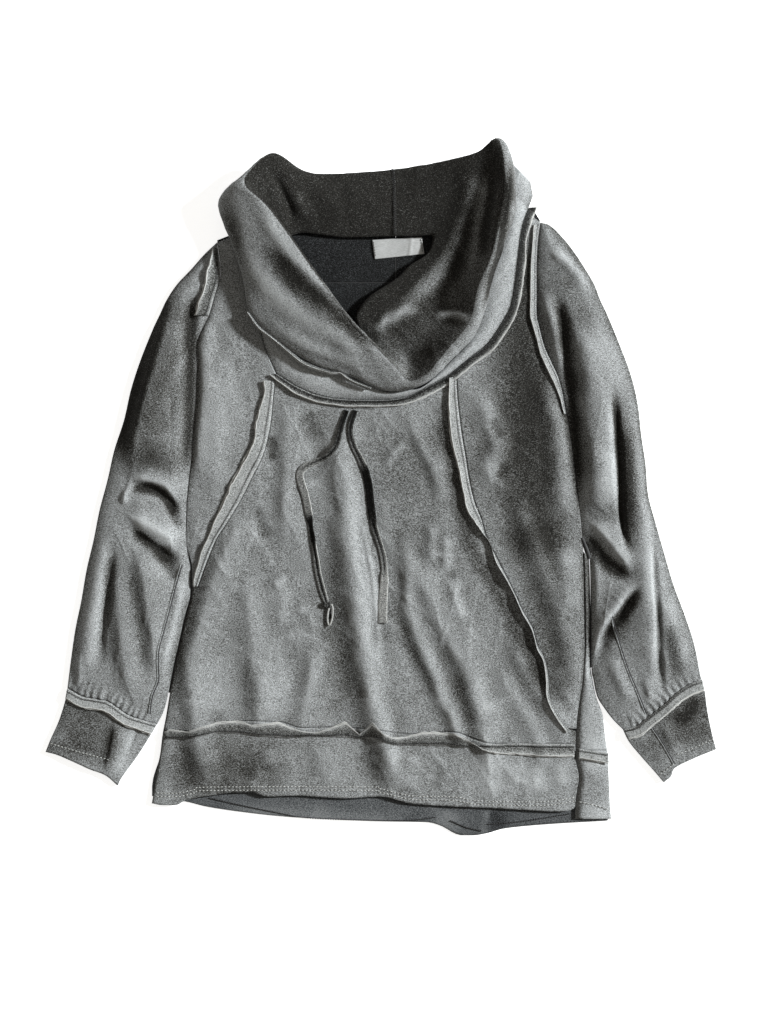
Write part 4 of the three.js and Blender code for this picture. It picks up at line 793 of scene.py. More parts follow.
class Cloth:
    """Gathers closed shells with what their finish needs at each point."""

    def __init__(self):
        self.points, self.polygons, self.wear, self.raw, self.finish = [], [], [], [], []
        self.count = 0

    def add(self, points, polygons, wear=0.0, raw=0.0, finish=None):
        points = np.reshape(points, (-1, 3))
        self.polygons += [np.asarray(group) + self.count for group in polygons]
        self.finish += [0] * len(polygons) if finish is None else list(finish)
        self.points.append(points)
        self.wear.append(np.broadcast_to(np.ravel(wear), len(points)))
        self.raw.append(np.broadcast_to(np.ravel(raw), len(points)))
        self.count += len(points)

    def wall(self, outer, inner, closed_rows=False, closed_columns=False, wear=0.0, raw=0.0, finish=(0, 0)):
        """Closed shell between an outer and an inner grid of points, with a finish for each."""
        rows, columns = outer.shape[:2]
        second = rows * columns
        number = np.arange(second).reshape(rows, columns)
        if closed_rows:
            number = np.vstack([number, number[:1]])
        if closed_columns:
            number = np.hstack([number, number[:, :1]])
        cells = cells_of(number)
        rims = []
        if not closed_rows:
            rims += [number[0][::-1], number[-1]]
        if not closed_columns:
            rims += [number[:, 0], number[:, -1][::-1]]
        outside = [cells]
        for line in rims:
            outside.append(np.stack([line[:-1], line[1:], line[1:] + second, line[:-1] + second], -1))
        groups = [np.concatenate(outside), cells[:, ::-1] + second]
        points = np.concatenate([outer.reshape(-1, 3), inner.reshape(-1, 3)])
        volume = 0
        for quads in groups:
            a, b, c, d = (points[quads[:, k]] for k in range(4))
            volume += np.sum(a * np.cross(b, c)) + np.sum(a * np.cross(c, d))
        if volume < 0:
            groups = [quads[:, ::-1] for quads in groups]
        wear, raw = (np.tile(np.ravel(value), 2) if np.ndim(value) else value for value in (wear, raw))
        self.add(points, groups, wear, raw, finish)

    def sleeve_of(self, grid, wear=0.0, raw=0.0):
        """Closed tube through rows of points, with a cap at each end."""
        number = np.arange(grid.shape[0] * grid.shape[1]).reshape(grid.shape[:2])
        looped = np.hstack([number, number[:, :1]])
        self.add(grid, [cells_of(looped), number[0][None, ::-1], number[-1][None]], wear, raw)

    def make_object(self, name, materials):
        mesh = bpy.data.meshes.new(name)
        points = (np.concatenate(self.points) + CENTRE_SHIFT) * MM
        loops = np.concatenate([group.reshape(-1) for group in self.polygons])
        sizes = np.concatenate([np.full(len(group), group.shape[1]) for group in self.polygons])
        starts = np.concatenate([[0], np.cumsum(sizes)[:-1]])
        finishes = zip(self.polygons, self.finish)
        slots = np.concatenate([np.full(len(group), slot) for group, slot in finishes])
        mesh.vertices.add(len(points))
        mesh.vertices.foreach_set("co", points.reshape(-1))
        mesh.loops.add(len(loops))
        mesh.loops.foreach_set("vertex_index", loops.astype(np.int32))
        mesh.polygons.add(len(sizes))
        mesh.polygons.foreach_set("loop_start", starts.astype(np.int32))
        for material in materials:
            mesh.materials.append(material)
        mesh.polygons.foreach_set("material_index", slots.astype(np.int32))
        mesh.update(calc_edges=True)
        mesh.shade_smooth()
        for label, values in (("wear", self.wear), ("raw", self.raw)):
            data = mesh.attributes.new(label, "FLOAT", "POINT").data
            data.foreach_set("value", np.concatenate(values).astype(np.float32))
        return add_to_scene(name, mesh)


def place(cloth, name, material, slot, nodes=()):
    """Make the piece, ride it on the garment's one body and hide the imported parts it stands for."""
    piece = cloth.make_object(name, material if isinstance(material, tuple) else (material,))
    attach(piece, "root")
    if nodes:
        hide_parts(*nodes)
    return piece


def blurred(values, rounds):
    for _ in range(rounds):
        padded = np.pad(values, 1, mode="edge")
        values = (padded[:-2, 1:-1] + padded[2:, 1:-1] + padded[1:-1, :-2] + padded[1:-1, 2:]) / 4
    return values


def wear_of(height, rounds=22, gain=0.8):
    """Lighter on the ridges and darker in the folds: worn pigment, with painted light on the ridges and
    painted shade in the folds.
    """
    return np.clip((height - blurred(height, rounds)) * gain, -1, 1)


def tone_of(grid, shading, gain=0.8):
    """Wear and painted fold shading of a grid's own relief, with the painted light and shade patches laid
    over it.
    """
    wear = wear_of(grid[..., 2], gain=gain) + crease_rise(grid[..., 0], grid[..., 1], shading)
    return np.clip(wear, DARKEST, PALEST)


def raised(x, y, z):
    return np.stack([x, y, z], -1)


def on_sheet(x, y, height):
    return raised(x, y, height(x, y))


def laid(spots, height, lift=0.0):
    """Points of the sheet, set on a face."""
    return np.concatenate([spots, (height(spots[..., 0], spots[..., 1]) + lift)[..., None]], -1)


def lowered(grid, depth):
    return grid - np.array([0, 0, depth])


def shell(cloth, grid, thickness=WALL, **looks):
    cloth.wall(grid, lowered(grid, thickness), **looks)


def tube(cloth, points, radius, sides=5, wear=0.0, raw=0.0):
    """Round thread along a line of points, with closed ends."""
    points = np.asarray(points, float)
    tangent = directions(points)
    across = unit(np.cross(tangent, [0, 0, 1.0]) + 1e-6)
    up = np.cross(across, tangent)
    turn = np.linspace(0, 2 * math.pi, sides, endpoint=False)[None, :, None]
    radius = np.broadcast_to(radius, len(points))[:, None, None]
    ring = across[:, None] * np.cos(turn) + up[:, None] * np.sin(turn)
    cloth.sleeve_of(points[:, None] + ring * radius, wear, raw)


STITCH_SINK = np.array([-0.9, 1, 1, -0.9])
STITCH_SWELL = np.array([0.6, 1, 1, 0.6])


def stitches(cloth, line, height, length=3.2, gap=1.0, radius=0.5, lift=0.4):
    """Row of short thread bars along a line, each a little sunk at its ends."""
    path = Path(line)
    count = max(1, int(path.length / (length + gap)))
    share = (np.arange(count)[:, None] + np.linspace(0, length / (length + gap), 4)) / count
    for points in laid(path.at(share), height, lift * STITCH_SINK):
        tube(cloth, points, radius * STITCH_SWELL)


def seam_line(dark, cloth, line, height, offset=1.5):
    """Sewn seam: its dark line, and the soft roll of cloth along its right side."""
    path = Path(line)
    spots = path.at(np.linspace(0, 1, int(path.length / 2.5)))
    beside = spots + to_right(directions(spots)) * offset
    for target, points, radius, sink in ((dark, spots, 0.9, 0.25), (cloth, beside, 1.1, 0.35)):
        tube(target, laid(points, height, -sink), radius, 6)


def zigzag(cloth, path, height, pitch=2.6, width=2.2, radius=0.3, lift=0.35):
    """Overlock thread that swings from side to side along a path."""
    count = int(path.length / (pitch / 2))
    spot = path.at(np.linspace(0, 1, count + 1))
    swing = np.where(np.arange(count + 1) % 2, -1, 1)[:, None] * width / 2
    tube(cloth, laid(spot + to_right(directions(spot)) * swing, height, lift), radius, 4)


FIBRE_SPACING = 1.0
FIBRE_LENGTHS = (0.3, 1.4)
FIBRE_RADII = (0.12, 0.24)
FIBRE_ROOT = 0.4


def fringe(cloth, edge, outward, seed, pale):
    """Short pale fibres that stand out of a cut edge."""
    random = np.random.default_rng(seed)
    path = Path(edge, smooth=False)
    count = int(path.length / FIBRE_SPACING)
    share = np.sort(random.uniform(0, 1, count))
    base = path.at(share)
    known = np.linspace(0, 1, len(outward))
    way = np.column_stack([np.interp(share, known, column) for column in outward.T])
    turn = random.normal(0, 0.7, count)
    way = np.column_stack([
        way[:, 0] * np.cos(turn) - way[:, 1] * np.sin(turn),
        way[:, 0] * np.sin(turn) + way[:, 1] * np.cos(turn),
        random.uniform(-0.25, 0.5, count),
    ])
    size = random.uniform(*FIBRE_LENGTHS, count)[:, None]
    radius = random.uniform(*FIBRE_RADII, count)[:, None]
    across = np.column_stack([-to_right(way), np.zeros(count)]) * radius
    up = np.array([0, 0, 1.5]) * radius
    root = base - way * FIBRE_ROOT
    points = np.stack([root + across, root - across, root + up, base + way * size], 1)
    first = np.arange(count)[:, None] * 4
    faces = np.concatenate([first + np.array(face) for face in ([0, 2, 1], [0, 1, 3], [1, 2, 3], [2, 0, 3])])
    cloth.add(points, [faces], 0.0, pale)


def paired(root, free, step=1.7):
    share = np.linspace(0, 1, int(max(root.length, free.length) / step) + 1)
    return root.at(share), free.at(share)


# Across a raw allowance, from its root to its cut edge: places, paleness, lift and middle tone
RIBBON_CELLS = np.array([0, 0.25, 0.5, 0.74, 0.9, 0.96, 1.0])
RIBBON_PALE = np.array([0, 0, 0, 0, 0, 0.6, 1.0])
RIBBON_LIFT = np.array([0, 0.8, 1, 1, 1, 1, 1])
RIBBON_MIDDLE = np.array([0, 1, 1, 0.6, 0, 0, 0])
RIBBON_RAISE = 0.5
RIBBON_REST = 0.15


def ribbon(cloth, threads, sides, height, seed, curl=0.9, top_share=0.9, pale=1.0, middle=0.0):
    """Two plies of a raw seam allowance, from its stitched root to its frayed cut edges."""
    roots, frees = sides
    across = frees - roots
    along = lengths_along(roots)
    u = RIBBON_CELLS[None]

    def wobble(cell, number):
        return noise(along, 0 * along, cell, seed + number)

    for level, reach in enumerate((1.0, top_share)):
        ragged = 1 + 0.04 * wobble(5, level) + 0.06 * wobble(19, 5)
        share = u * (reach * ragged)[:, None]
        rise = (curl * (0.6 + 0.4 * wobble(16, 9)))[:, None] * u**2
        rise = rise + level * (PLY + RIBBON_REST + 0.5 * u**3)
        rise = rise + RIBBON_REST + (RIBBON_RAISE + PLY) * RIBBON_LIFT
        grid = laid(roots[:, None] + across[:, None] * share[..., None], height, rise)
        every_row = np.ones((len(roots), 1))
        cloth.wall(grid, lowered(grid, PLY), wear=middle * RIBBON_MIDDLE * every_row,
                   raw=pale * RIBBON_PALE * every_row)
        fringe(cloth, lowered(grid[:, -1], PLY / 2), unit(across), seed + 21 + level, pale)
    line = Path(roots + across * 0.2, smooth=False)
    zigzag(threads, line, height, lift=RIBBON_RAISE + 2 * PLY + 0.75)


# Finish of the cloth


class Finish:
    """Material round one main shader, whose nodes are added and joined by short calls."""

    def __init__(self, name, **inputs):
        self.material = bpy.data.materials.new(name)
        self.material.use_nodes = True
        self.tree = self.material.node_tree
        self.tree.nodes.clear()
        self.shader = self.add("BsdfPrincipled", inputs)
        self.add("OutputMaterial", {"Surface": self.shader.outputs["BSDF"]})

    def set(self, node, inputs):
        """Set each input of a node to its value, or link it to another node's output."""
        for name, value in inputs.items():
            if isinstance(value, bpy.types.NodeSocket):
                self.tree.links.new(value, node.inputs[name])
            else:
                node.inputs[name].default_value = value

    def add(self, kind, inputs, **settings):
        node = self.tree.nodes.new("ShaderNode" + kind)
        for name, value in settings.items():
            setattr(node, name, value)
        self.set(node, inputs)
        return node

    def place(self):
        return self.add("TexCoord", {}).outputs["Object"]

    def squeezed(self, vector, scale):
        return self.add("Mapping", {"Vector": vector, "Scale": scale}).outputs["Vector"]

    def painted(self, label):
        """Value that the mesh carries at each point."""
        return self.add("Attribute", {}, attribute_name=label).outputs["Fac"]

    def noise(self, vector, scale, detail=3.0, roughness=0.6):
        inputs = {"Vector": vector, "Scale": scale, "Detail": detail, "Roughness": roughness}
        return self.add("TexNoise", inputs).outputs["Fac"]

    def sum_of(self, first, second, operation="ADD"):
        return self.add("Math", {0: first, 1: second}, operation=operation).outputs[0]

    def share_of(self, value, share, middle=0.0):
        """The value's swing round its middle, times a share."""
        if middle:
            value = self.sum_of(value, middle, "SUBTRACT")
        return self.sum_of(value, share, "MULTIPLY")

    def ramp(self, value, stops):
        node = self.add("ValToRGB", {"Fac": value})
        elements = node.color_ramp.elements
        while len(elements) < len(stops):
            elements.new(0.5)
        for element, (position, colour) in zip(elements, stops):
            element.position = position
            element.color = (*colour, 1)
        return node.outputs["Color"]

    def bump(self, height, strength, distance, below=None):
        inputs = {"Height": height, "Strength": strength, "Distance": distance}
        if below is not None:
            inputs["Normal"] = below
        return self.add("Bump", inputs).outputs["Normal"]


# Cut fibres, and the size of each grain as turns a metre
RAW_FIBRE = (0.6, 0.6, 0.585)
GRAIN, FUZZ, CRUMPLE, MOTTLE, PATCHES, TWIST, WEAVE = 700, 900, 75, 34, 9, 1500, 1100
WEAR_AND_SHADING_SHARE = 0.3
MOTTLE_SHARE = 0.08
GRAIN_SHARE = 1.2
DEEPEST = 0.2


def knit(name, dark, middle, light):
    """Washed, heathered knit: fibre grain, faint courses, mottled dye, and worn ridges whose tone also
    carries painted light on the ridges and painted shade in folds and shadows.
    """
    made = Finish(name, **{"Roughness": 0.95, "Specular IOR Level": 0.08, "Sheen Weight": 0.04,
                           "Sheen Roughness": 0.6})
    spot = made.place()
    grain = made.noise(made.squeezed(spot, (1.0, 2.2, 1.0)), GRAIN, 2.0, 0.7)
    tone = made.share_of(grain, GRAIN_SHARE * 2, 0.5)
    for size, detail, roughness in ((MOTTLE, 4.0, 0.6), (PATCHES, 2.0, 0.5)):
        cloud = made.noise(spot, size, detail, roughness)
        tone = made.sum_of(tone, made.share_of(cloud, MOTTLE_SHARE * 2, 0.5))
    tone = made.sum_of(tone, made.share_of(made.painted("wear"), WEAR_AND_SHADING_SHARE))
    tone = made.sum_of(tone, 0.5)
    # The low stops, the deepest last, take the painted shade of folds and shadows, and the high ones the
    # painted light
    deep = tuple(value * DEEPEST for value in dark)
    colour = made.ramp(tone, [(0.0, deep), (0.2, dark), (0.5, middle), (1.0, light)])
    frayed = made.add("Mix", {0: made.painted("raw"), 6: colour, 7: (*RAW_FIBRE, 1)}, data_type="RGBA")
    crumple = made.bump(made.noise(spot, CRUMPLE, 3.0, 0.55), 0.6, 0.0016)
    fibres = made.bump(made.sum_of(grain, made.noise(spot, FUZZ, 2.0, 0.6)), 0.5, 0.0006, crumple)
    made.set(made.shader, {"Base Color": frayed.outputs[2], "Normal": fibres})
    return made.material


def thread_material(name, colour):
    made = Finish(name, Roughness=0.7)
    twist = made.noise(made.place(), TWIST, 2.0)
    darker = tuple(value * 0.55 for value in colour)
    made.set(made.shader, {"Base Color": made.ramp(twist, [(0.35, darker), (0.7, colour)])})
    return made.material


def satin_material():
    made = Finish("label_satin", **{"Roughness": 0.38, "Sheen Weight": 0.3})
    weave = made.noise(made.squeezed(made.place(), (0.25, 3.0, 1.0)), WEAVE, 2.0)
    colour = made.ramp(weave, [(0.3, (0.27, 0.275, 0.275)), (0.7, (0.5, 0.51, 0.515))])
    made.set(made.shader, {"Base Color": colour, "Normal": made.bump(weave, 0.25, 0.0002)})
    return made.material


FLEECE = knit("washed_fleece", (0.052, 0.050, 0.045), (0.19, 0.197, 0.2), (0.46, 0.478, 0.49))
INSIDE = knit("inside_fleece", (0.018, 0.019, 0.02), (0.066, 0.071, 0.076), (0.20, 0.207, 0.212))
RAW = knit("raw_allowance", (0.07, 0.07, 0.066), (0.26, 0.268, 0.268), (0.5, 0.515, 0.52))
TAPE = knit("tape_fleece", (0.02, 0.02, 0.019), (0.17, 0.173, 0.17), (0.42, 0.42, 0.41))
DARK_THREAD = thread_material("dark_thread", (0.03, 0.03, 0.032))
LIGHT_THREAD = thread_material("light_thread", (0.5, 0.505, 0.49))
SATIN = satin_material()

# Camera straight above, whose view is as high as the photograph's frame, in metres
CAMERA_SPOT = (0.0036, -0.02565, 3.0)
FRAME_HEIGHT = 1.1776
SENSOR = 36.0


def add_camera():
    data = bpy.data.cameras.new("camera")
    data.sensor_width = SENSOR
    data.lens = SENSOR * CAMERA_SPOT[2] / FRAME_HEIGHT
    camera = add_to_scene("camera", data)
    camera.location = CAMERA_SPOT
    bpy.context.scene.camera = camera


# Drawstrings

TAPE_STEP = 1.5
TAPE_THICKNESS = 1.1
TAPE_SIDES = 28
TAPE_EDGE = 0.86
KNOT_AT = 0.93


def flat_cord(cord):
    """Flat rolled tape along its route, pinched thin down its middle where a slit is given, with painted
    shade there so that it looks parted in two.
    """
    path = Path(cord["route"])
    s = np.linspace(0, 1, int(path.length / TAPE_STEP) + 1)
    spot = path.at(s)
    width = read_table(s, cord["widths"]) * (1 + 0.06 * noise(s * path.length, 0 * s, 9, 3))
    turn = np.radians(read_table(s, cord["turns"]))[:, None]
    slit = read_table(s, cord["slits"])[:, None]
    half = width[:, None] / 2
    stand = np.abs(np.sin(turn)) * half * 0.8 + TAPE_THICKNESS / 2
    below = [front_height(spot[:, 0] + aside, spot[:, 1]) for aside in (-3, 0, 3)]
    centre = np.column_stack([spot, np.max(below, axis=0) + 0.6 + stand[:, 0]])
    tangent = directions(centre)
    across = unit(np.cross(np.array([0, 0, 1.0]), tangent))
    up = np.cross(tangent, across)
    side = across * np.cos(turn) + up * np.sin(turn)
    face = np.cross(tangent, side)
    around = np.linspace(0, 2 * math.pi, TAPE_SIDES, endpoint=False)
    flat_x = np.sign(np.cos(around)) * np.abs(np.cos(around)) ** 0.7
    middle = np.exp(-((flat_x / 0.3) ** 2))[None]
    swell = (1 + 0.35 * np.cos(2 * around)) * (1 - 0.75 * slit * middle)
    grid = (
        centre[:, None]
        + side[:, None] * (half * flat_x)[..., None]
        + face[:, None] * (TAPE_THICKNESS * np.sin(around) * swell)[..., None]
    )
    # Tone of the tape: painted shade from its table, and down its pinched middle
    dark = read_table(s, cord["tones"])[:, None] - 2.4 * slit * middle
    pale = 0.7 * smoothstep((np.abs(flat_x) - TAPE_EDGE) / (1 - TAPE_EDGE)) * (1 + np.clip(dark, -1, 0))
    cloth = Cloth()
    cloth.sleeve_of(grid, dark, pale)
    return place(cloth, cord["name"], TAPE, "tape", [cord["node"]]), centre


def tied_knot(name, centre):
    """Overhand knot in the tape, and the small loop that is left below it."""
    tied = centre[int(KNOT_AT * (len(centre) - 1))]
    end = centre[-1]
    cloth = Cloth()
    turn = np.linspace(0, 4 * math.pi, 80)
    knot = tied + np.column_stack([
        2.6 * np.sin(turn) + 0.5 * np.sin(2 * turn),
        2.4 * np.cos(turn * 1.5),
        1.0 + 1.3 * np.sin(turn * 1.5 + 0.6),
    ])
    tube(cloth, knot, 1.7, 10, wear=-1.1)
    turn = np.linspace(0, 2 * math.pi, 40)
    reach = (tied[1] - end[1]) * 0.62
    loop = lerp(tied, end, 0.6) + np.column_stack([
        2.8 * np.sin(turn) + 1.2 * np.cos(turn), reach * np.cos(turn), 0.9 + 0 * turn])
    tube(cloth, loop, 1.15, 8, wear=-0.2, raw=0.35)
    return place(cloth, name, TAPE, "tape")


def add_cord(cord):
    """One free end of the drawstring, with its knot where it has one."""
    piece, centre = flat_cord(cord)
    knots = [tied_knot("drawstring_knot", centre)] if cord["far_end"] == "knot" else []


# Front

# Rows of the centre front keep two levels that the side fronts share
ROW_SHARES = [0, 0.176, 0.91, 1]
ROW_LEVELS = [60, -240]
EDGE_SHARE = 14
EDGE_BLUR = 300


def rows_between(s, neck, hem):
    """Level of each row: from the neck, through shared levels, to the hem seam."""
    levels = [neck] + [level + 0 * neck for level in ROW_LEVELS] + [hem]
    out = np.zeros(np.broadcast(s, neck).shape)
    for i, start in enumerate(ROW_SHARES[:-1]):
        share = np.clip((s - start) / (ROW_SHARES[i + 1] - start), 0, 1)
        out = np.where(s >= start, lerp(levels[i], levels[i + 1], share), out)
    return out


def front_centre_grid():
    s = np.linspace(0, 1, 200)[:, None]
    u = np.linspace(0, 1, 190)[None, :]
    left_y = rows_between(s, np.array(float(LEFT_CORNER)), hem_seam(np.array(float(HEM_LEFT))))
    right_y = rows_between(s, np.array(float(RIGHT_CORNER)), hem_seam(np.array(float(HEM_RIGHT))))
    left = np.where(left_y >= LEFT_TIP, left_princess(left_y), left_edge(left_y)) + SEAM_GAP / 2
    right = np.where(right_y >= RIGHT_TIP, right_princess(right_y), HEM_RIGHT) - SEAM_GAP / 2
    soft_left, soft_right = (blurred(np.tile(side, (1, 3)), EDGE_BLUR)[:, 1:2] for side in (left, right))
    x = lerp(soft_left, soft_right, u)
    x = x + (left - soft_left) * (1 - u) ** EDGE_SHARE + (right - soft_right) * u**EDGE_SHARE
    return on_sheet(x, rows_between(s, neck_line(x), hem_seam(x)), front_height)


def side_grid(top, tip, rows, columns, slope, fade_to, left, right):
    """Side front, whose rows rise along the shoulder's slope at the top."""
    level = np.linspace(top, tip, rows)[:, None]
    u = np.linspace(0, 1, columns)[None, :]
    x = lerp(left(level), right(level), u)
    fade = np.clip((level - fade_to) / (top - fade_to), 0, 1)
    return on_sheet(x, level + slope * (u if slope > 0 else u - 1) * fade, front_height)


def left_inner(y):
    return np.where(y > LEFT_CORNER, left_neck(y), left_princess(y)) - SEAM_GAP / 2


def right_inner(y):
    return np.where(y > RIGHT_CORNER, right_neck(y), right_princess(y)) + SEAM_GAP / 2


def right_outer(y):
    return right_seam(y) - SEAM_GAP / 2


BAND_FITTED = 0.98


def hem_band_grid():
    u = np.linspace(0, 1, 200)[None, :]
    s = np.linspace(0, 1, 36)[:, None]
    top_x = lerp(-248.0, 224.8, u)
    x = lerp(top_x, lerp(-262.0, 223.6, u), s)
    y = lerp(hem_seam(top_x) - SEAM_GAP, front_hem(x), s)
    fitted = lerp(x, right_seam(y) - 2 * SEAM_GAP, (u - BAND_FITTED) / (1 - BAND_FITTED))
    return on_sheet(np.where(u > BAND_FITTED, fitted, x), y, front_height)


def build_front():
    left = side_grid(LEFT_SHOULDER, LEFT_TIP, 172, 42, 9, 262, left_edge, left_inner)
    right = side_grid(RIGHT_SHOULDER, RIGHT_TIP, 250, 52, -16, 284, right_inner, right_outer)
    for name, node, grid in (("front_centre_cloth", "front_centre", front_centre_grid()),
                             ("front_left_cloth", "front_side_left", left),
                             ("front_right_cloth", "front_side_right", right),
                             ("hem_band_cloth", "hem_band_front", hem_band_grid())):
        cloth = Cloth()
        shell(cloth, grid, wear=tone_of(grid, FRONT_SHADING, 0.6), finish=(0, 1))
        place(cloth, name, (FLEECE, INSIDE), "fleece", [node])


# Back, which lies flat and wraps round the right edge

# Section of the wrap: share of the way to the seam, inset from the fold, outer and inner height
WRAP = [(0, 8, 0, WALL), (0, 3, 0, WALL), (0, 0.8, 0.7, 1.7), (0, 0, 2, 2), (0, 0.8, 3.4, 2.3),
        (0, 3, 4.2, 2.6), (0.25, 0, 5.2, 3.6), (0.5, 0, 5.6, 4), (0.75, 0, 5.1, 3.5), (1, 0, 4.2, 2.6)]
WRAP_CORE = 1.9
WRAP_OVERLAP = 4
WRAP_ROOT = 3
BODY_REACH = 18


def add_wrap(cloth, levels):
    fold, seam = right_fold(levels), right_seam(levels) + SEAM_GAP / 2
    faces = [], []
    for share, inset, outer_z, inner_z in WRAP:
        for rows, z, core in zip(faces, (outer_z, inner_z), (0, WRAP_CORE)):
            x = lerp(fold - WRAP_ROOT, seam, share) if share > 0 else fold - max(inset, core)
            bend = 0.35 * noise(levels, levels * 0 + share * 60, 26, 61) if outer_z > 3 else 0
            rows.append(raised(x, levels, z + bend + 0 * x))
    outer, inner = (np.stack(rows, 1) for rows in faces)
    cloth.wall(outer, inner, wear=tone_of(outer, WRAP_SHADING), finish=(1, 0))


def flat_sheet(x, y):
    body = np.exp(-near(x, y, [LEFT_EDGE, RIGHT_SEAM]) / BODY_REACH)
    rise = under_relief(x, y) * (1 - body)
    return raised(x, y, BACK_TOP + rise), raised(x, y, rise)


def place_back(name, node, x, y, wear, wrapped=None):
    cloth = Cloth()
    cloth.wall(*flat_sheet(x, y), wear=wear, finish=(0, 1))
    if wrapped is not None:
        add_wrap(cloth, wrapped)
    place(cloth, name, (INSIDE, FLEECE), "fleece_inside", [node])


def build_back():
    u = np.linspace(0, 1, 100)[None, :]
    levels = np.linspace(YOKE_LINE - SEAM_GAP / 2, BACK_END, 130)[:, None]
    right = np.where(levels > WRAP_START, right_outer(levels), right_fold(levels) - WRAP_OVERLAP)
    x = lerp(left_edge(levels), right, u)
    y = levels + 0 * x
    # Painted shade, deepening up towards the yoke inside the cowl's bowl
    shade = YOKE_SHADE * smoothstep((y - 110) / 60)
    place_back("back_cloth", "back", x, y, shade, np.linspace(WRAP_START, BACK_END, 110))

    top = BACK_END - SEAM_GAP
    share = np.linspace(0, 1, 36)[:, None]
    level = lerp(top, -381.0, share)
    x = lerp(left_edge(level), right_fold(level) - WRAP_OVERLAP, u)
    y = lerp(top, back_hem(x), share)
    place_back("back_hem_cloth", "hem_band_back", x, y, crease_rise(x, y, BACK_HEM_SHADING),
               np.linspace(top, -379, 36))

    bottom = YOKE_LINE + SEAM_GAP / 2
    share = np.linspace(0, 1, 30)[:, None]
    across = np.linspace(0, 1, 76)[None, :]
    for name, side, shoulder, outside in (("left", -1, LEFT_SHOULDER, left_edge),
                                          ("right", 1, RIGHT_SHOULDER, right_outer)):
        x = lerp(CENTRE_BACK + side * SEAM_GAP / 2, outside(lerp(bottom, shoulder, share)), across)
        y = lerp(bottom, back_neck(x) - SEAM_GAP, share)
        # The yokes get the same painted shade all over
        place_back(f"yoke_{name}_cloth", f"back_yoke_{name}", x, y, YOKE_SHADE + 0 * x)


# Sleeves and cuffs are flattened tubes between four outline curves

# Edge of a flattened tube: inset and height of its outer face, then of its inner face
TUBE_SIDE = [(-0.2, 3.0, 1.5, 2.2), (0.1, 1.6, 1.7, 2.0), (0.8, 0.5, 2.1, 1.8), (2.0, 0.0, 2.6, 1.6)]
TUBE_TONE_GAIN = 0.35
SLEEVE_END = 1 - 0.0012


def coons(start, end, inner, outer, u, v):
    """Grid between four curves."""
    a, b = start.at(v)[None], end.at(v)[None]
    c, d = inner.at(u)[:, None], outer.at(u)[:, None]
    u, v = u[:, None, None], v[None, :, None]
    corners = start.at(0), start.at(1), end.at(0), end.at(1)
    return (
        (1 - u) * a + u * b + (1 - v) * c + v * d - (1 - u) * (1 - v) * corners[0]
        - (1 - u) * v * corners[1] - u * (1 - v) * corners[2] - u * v * corners[3]
    )


def flat_tube(plan, height, shading):
    """Cloth with a closed wall round a flattened tube."""
    top = laid(plan, height)
    first, last = unit(plan[:, 1] - plan[:, 0]), unit(plan[:, -2] - plan[:, -1])
    from_edge = np.minimum(np.arange(plan.shape[1]), np.arange(plan.shape[1])[::-1])
    hollow = under_relief(plan[..., 0], plan[..., 1]) * (1 - np.exp(-from_edge / 5))[None]

    def column(edge, way, inset, z):
        return np.column_stack([edge + way * inset, np.full(len(edge), z)])[:, None]

    def ring(inside):
        """Points once round the tube: its upper face, one edge, its underside and the other edge."""
        depth = WALL if inside else 0
        floor = BACK_TOP if inside else 0
        sides = [row[2:] if inside else row[:2] for row in TUBE_SIDE]
        upper = lowered(top, depth)
        upper[:, 0, :2] += first * depth
        upper[:, -1, :2] += last * depth
        lower = np.dstack([plan, floor + hollow])[:, 1:-1][:, ::-1]
        right = [column(plan[:, -1], last, *side) for side in sides]
        left = [column(plan[:, 0], first, *side) for side in sides[::-1]]
        return np.concatenate([upper, *right, lower, *left], 1)

    outer = ring(False)
    wear = np.zeros(outer.shape[:2])
    wear[:, :plan.shape[1]] = tone_of(top, shading, TUBE_TONE_GAIN)
    cloth = Cloth()
    cloth.wall(outer, ring(True), closed_columns=True, wear=wear, finish=(0, 1))
    return cloth


def build_sleeve(name, sleeve):
    left = sleeve["side"] < 0
    edge, shoulder = (left_edge, LEFT_SHOULDER) if left else (right_seam, RIGHT_SHOULDER)
    armhole = Path(down(edge, UNDERARM, shoulder, 80, -SEAM_GAP if left else SEAM_GAP / 2), smooth=False)
    inner = Path([armhole.points[0]] + sleeve["inner"][1:])
    outer = Path([armhole.points[-1]] + sleeve["outer"][1:])
    seam = Path(sleeve["seam"])
    opening, cuff_inner, cuff_outer = (Path(sleeve[key]) for key in ("opening", "cuff_inner", "cuff_outer"))
    v = np.linspace(0, 1, 82)
    plans = [("sleeve", coons(armhole, seam, inner, outer, np.linspace(0, 1, 215) * SLEEVE_END, v),
              on_sleeve(sleeve), sleeve["shading"]),
             ("cuff", coons(seam, opening, cuff_inner, cuff_outer, np.linspace(0, 1, 34), v),
              on_cuff(sleeve), sleeve["cuff_shading"])]
    for part, plan, height, shading in plans:
        node = f"{part}_{name}"
        place(flat_tube(plan, height, shading), f"{node}_cloth", (FLEECE, INSIDE), "fleece", [node])


# Collar

BAND_LOW_END = 214
BAND_SPLIT = 30
BAND_SPLIT_LEVEL = 130
BAND_STEP = 2.2
BAND_FOOT = 0.4
BAND_END_TOP = 5


def band_outer():
    left = down(left_neck, BAND_LOW_END, LEFT_CORNER, 30)
    right = down(right_neck, RIGHT_CORNER, BAND_END, 60)[1:]
    return np.vstack([left, across_neck(80)[1:], right, [(176, 336), (173, 352)]])


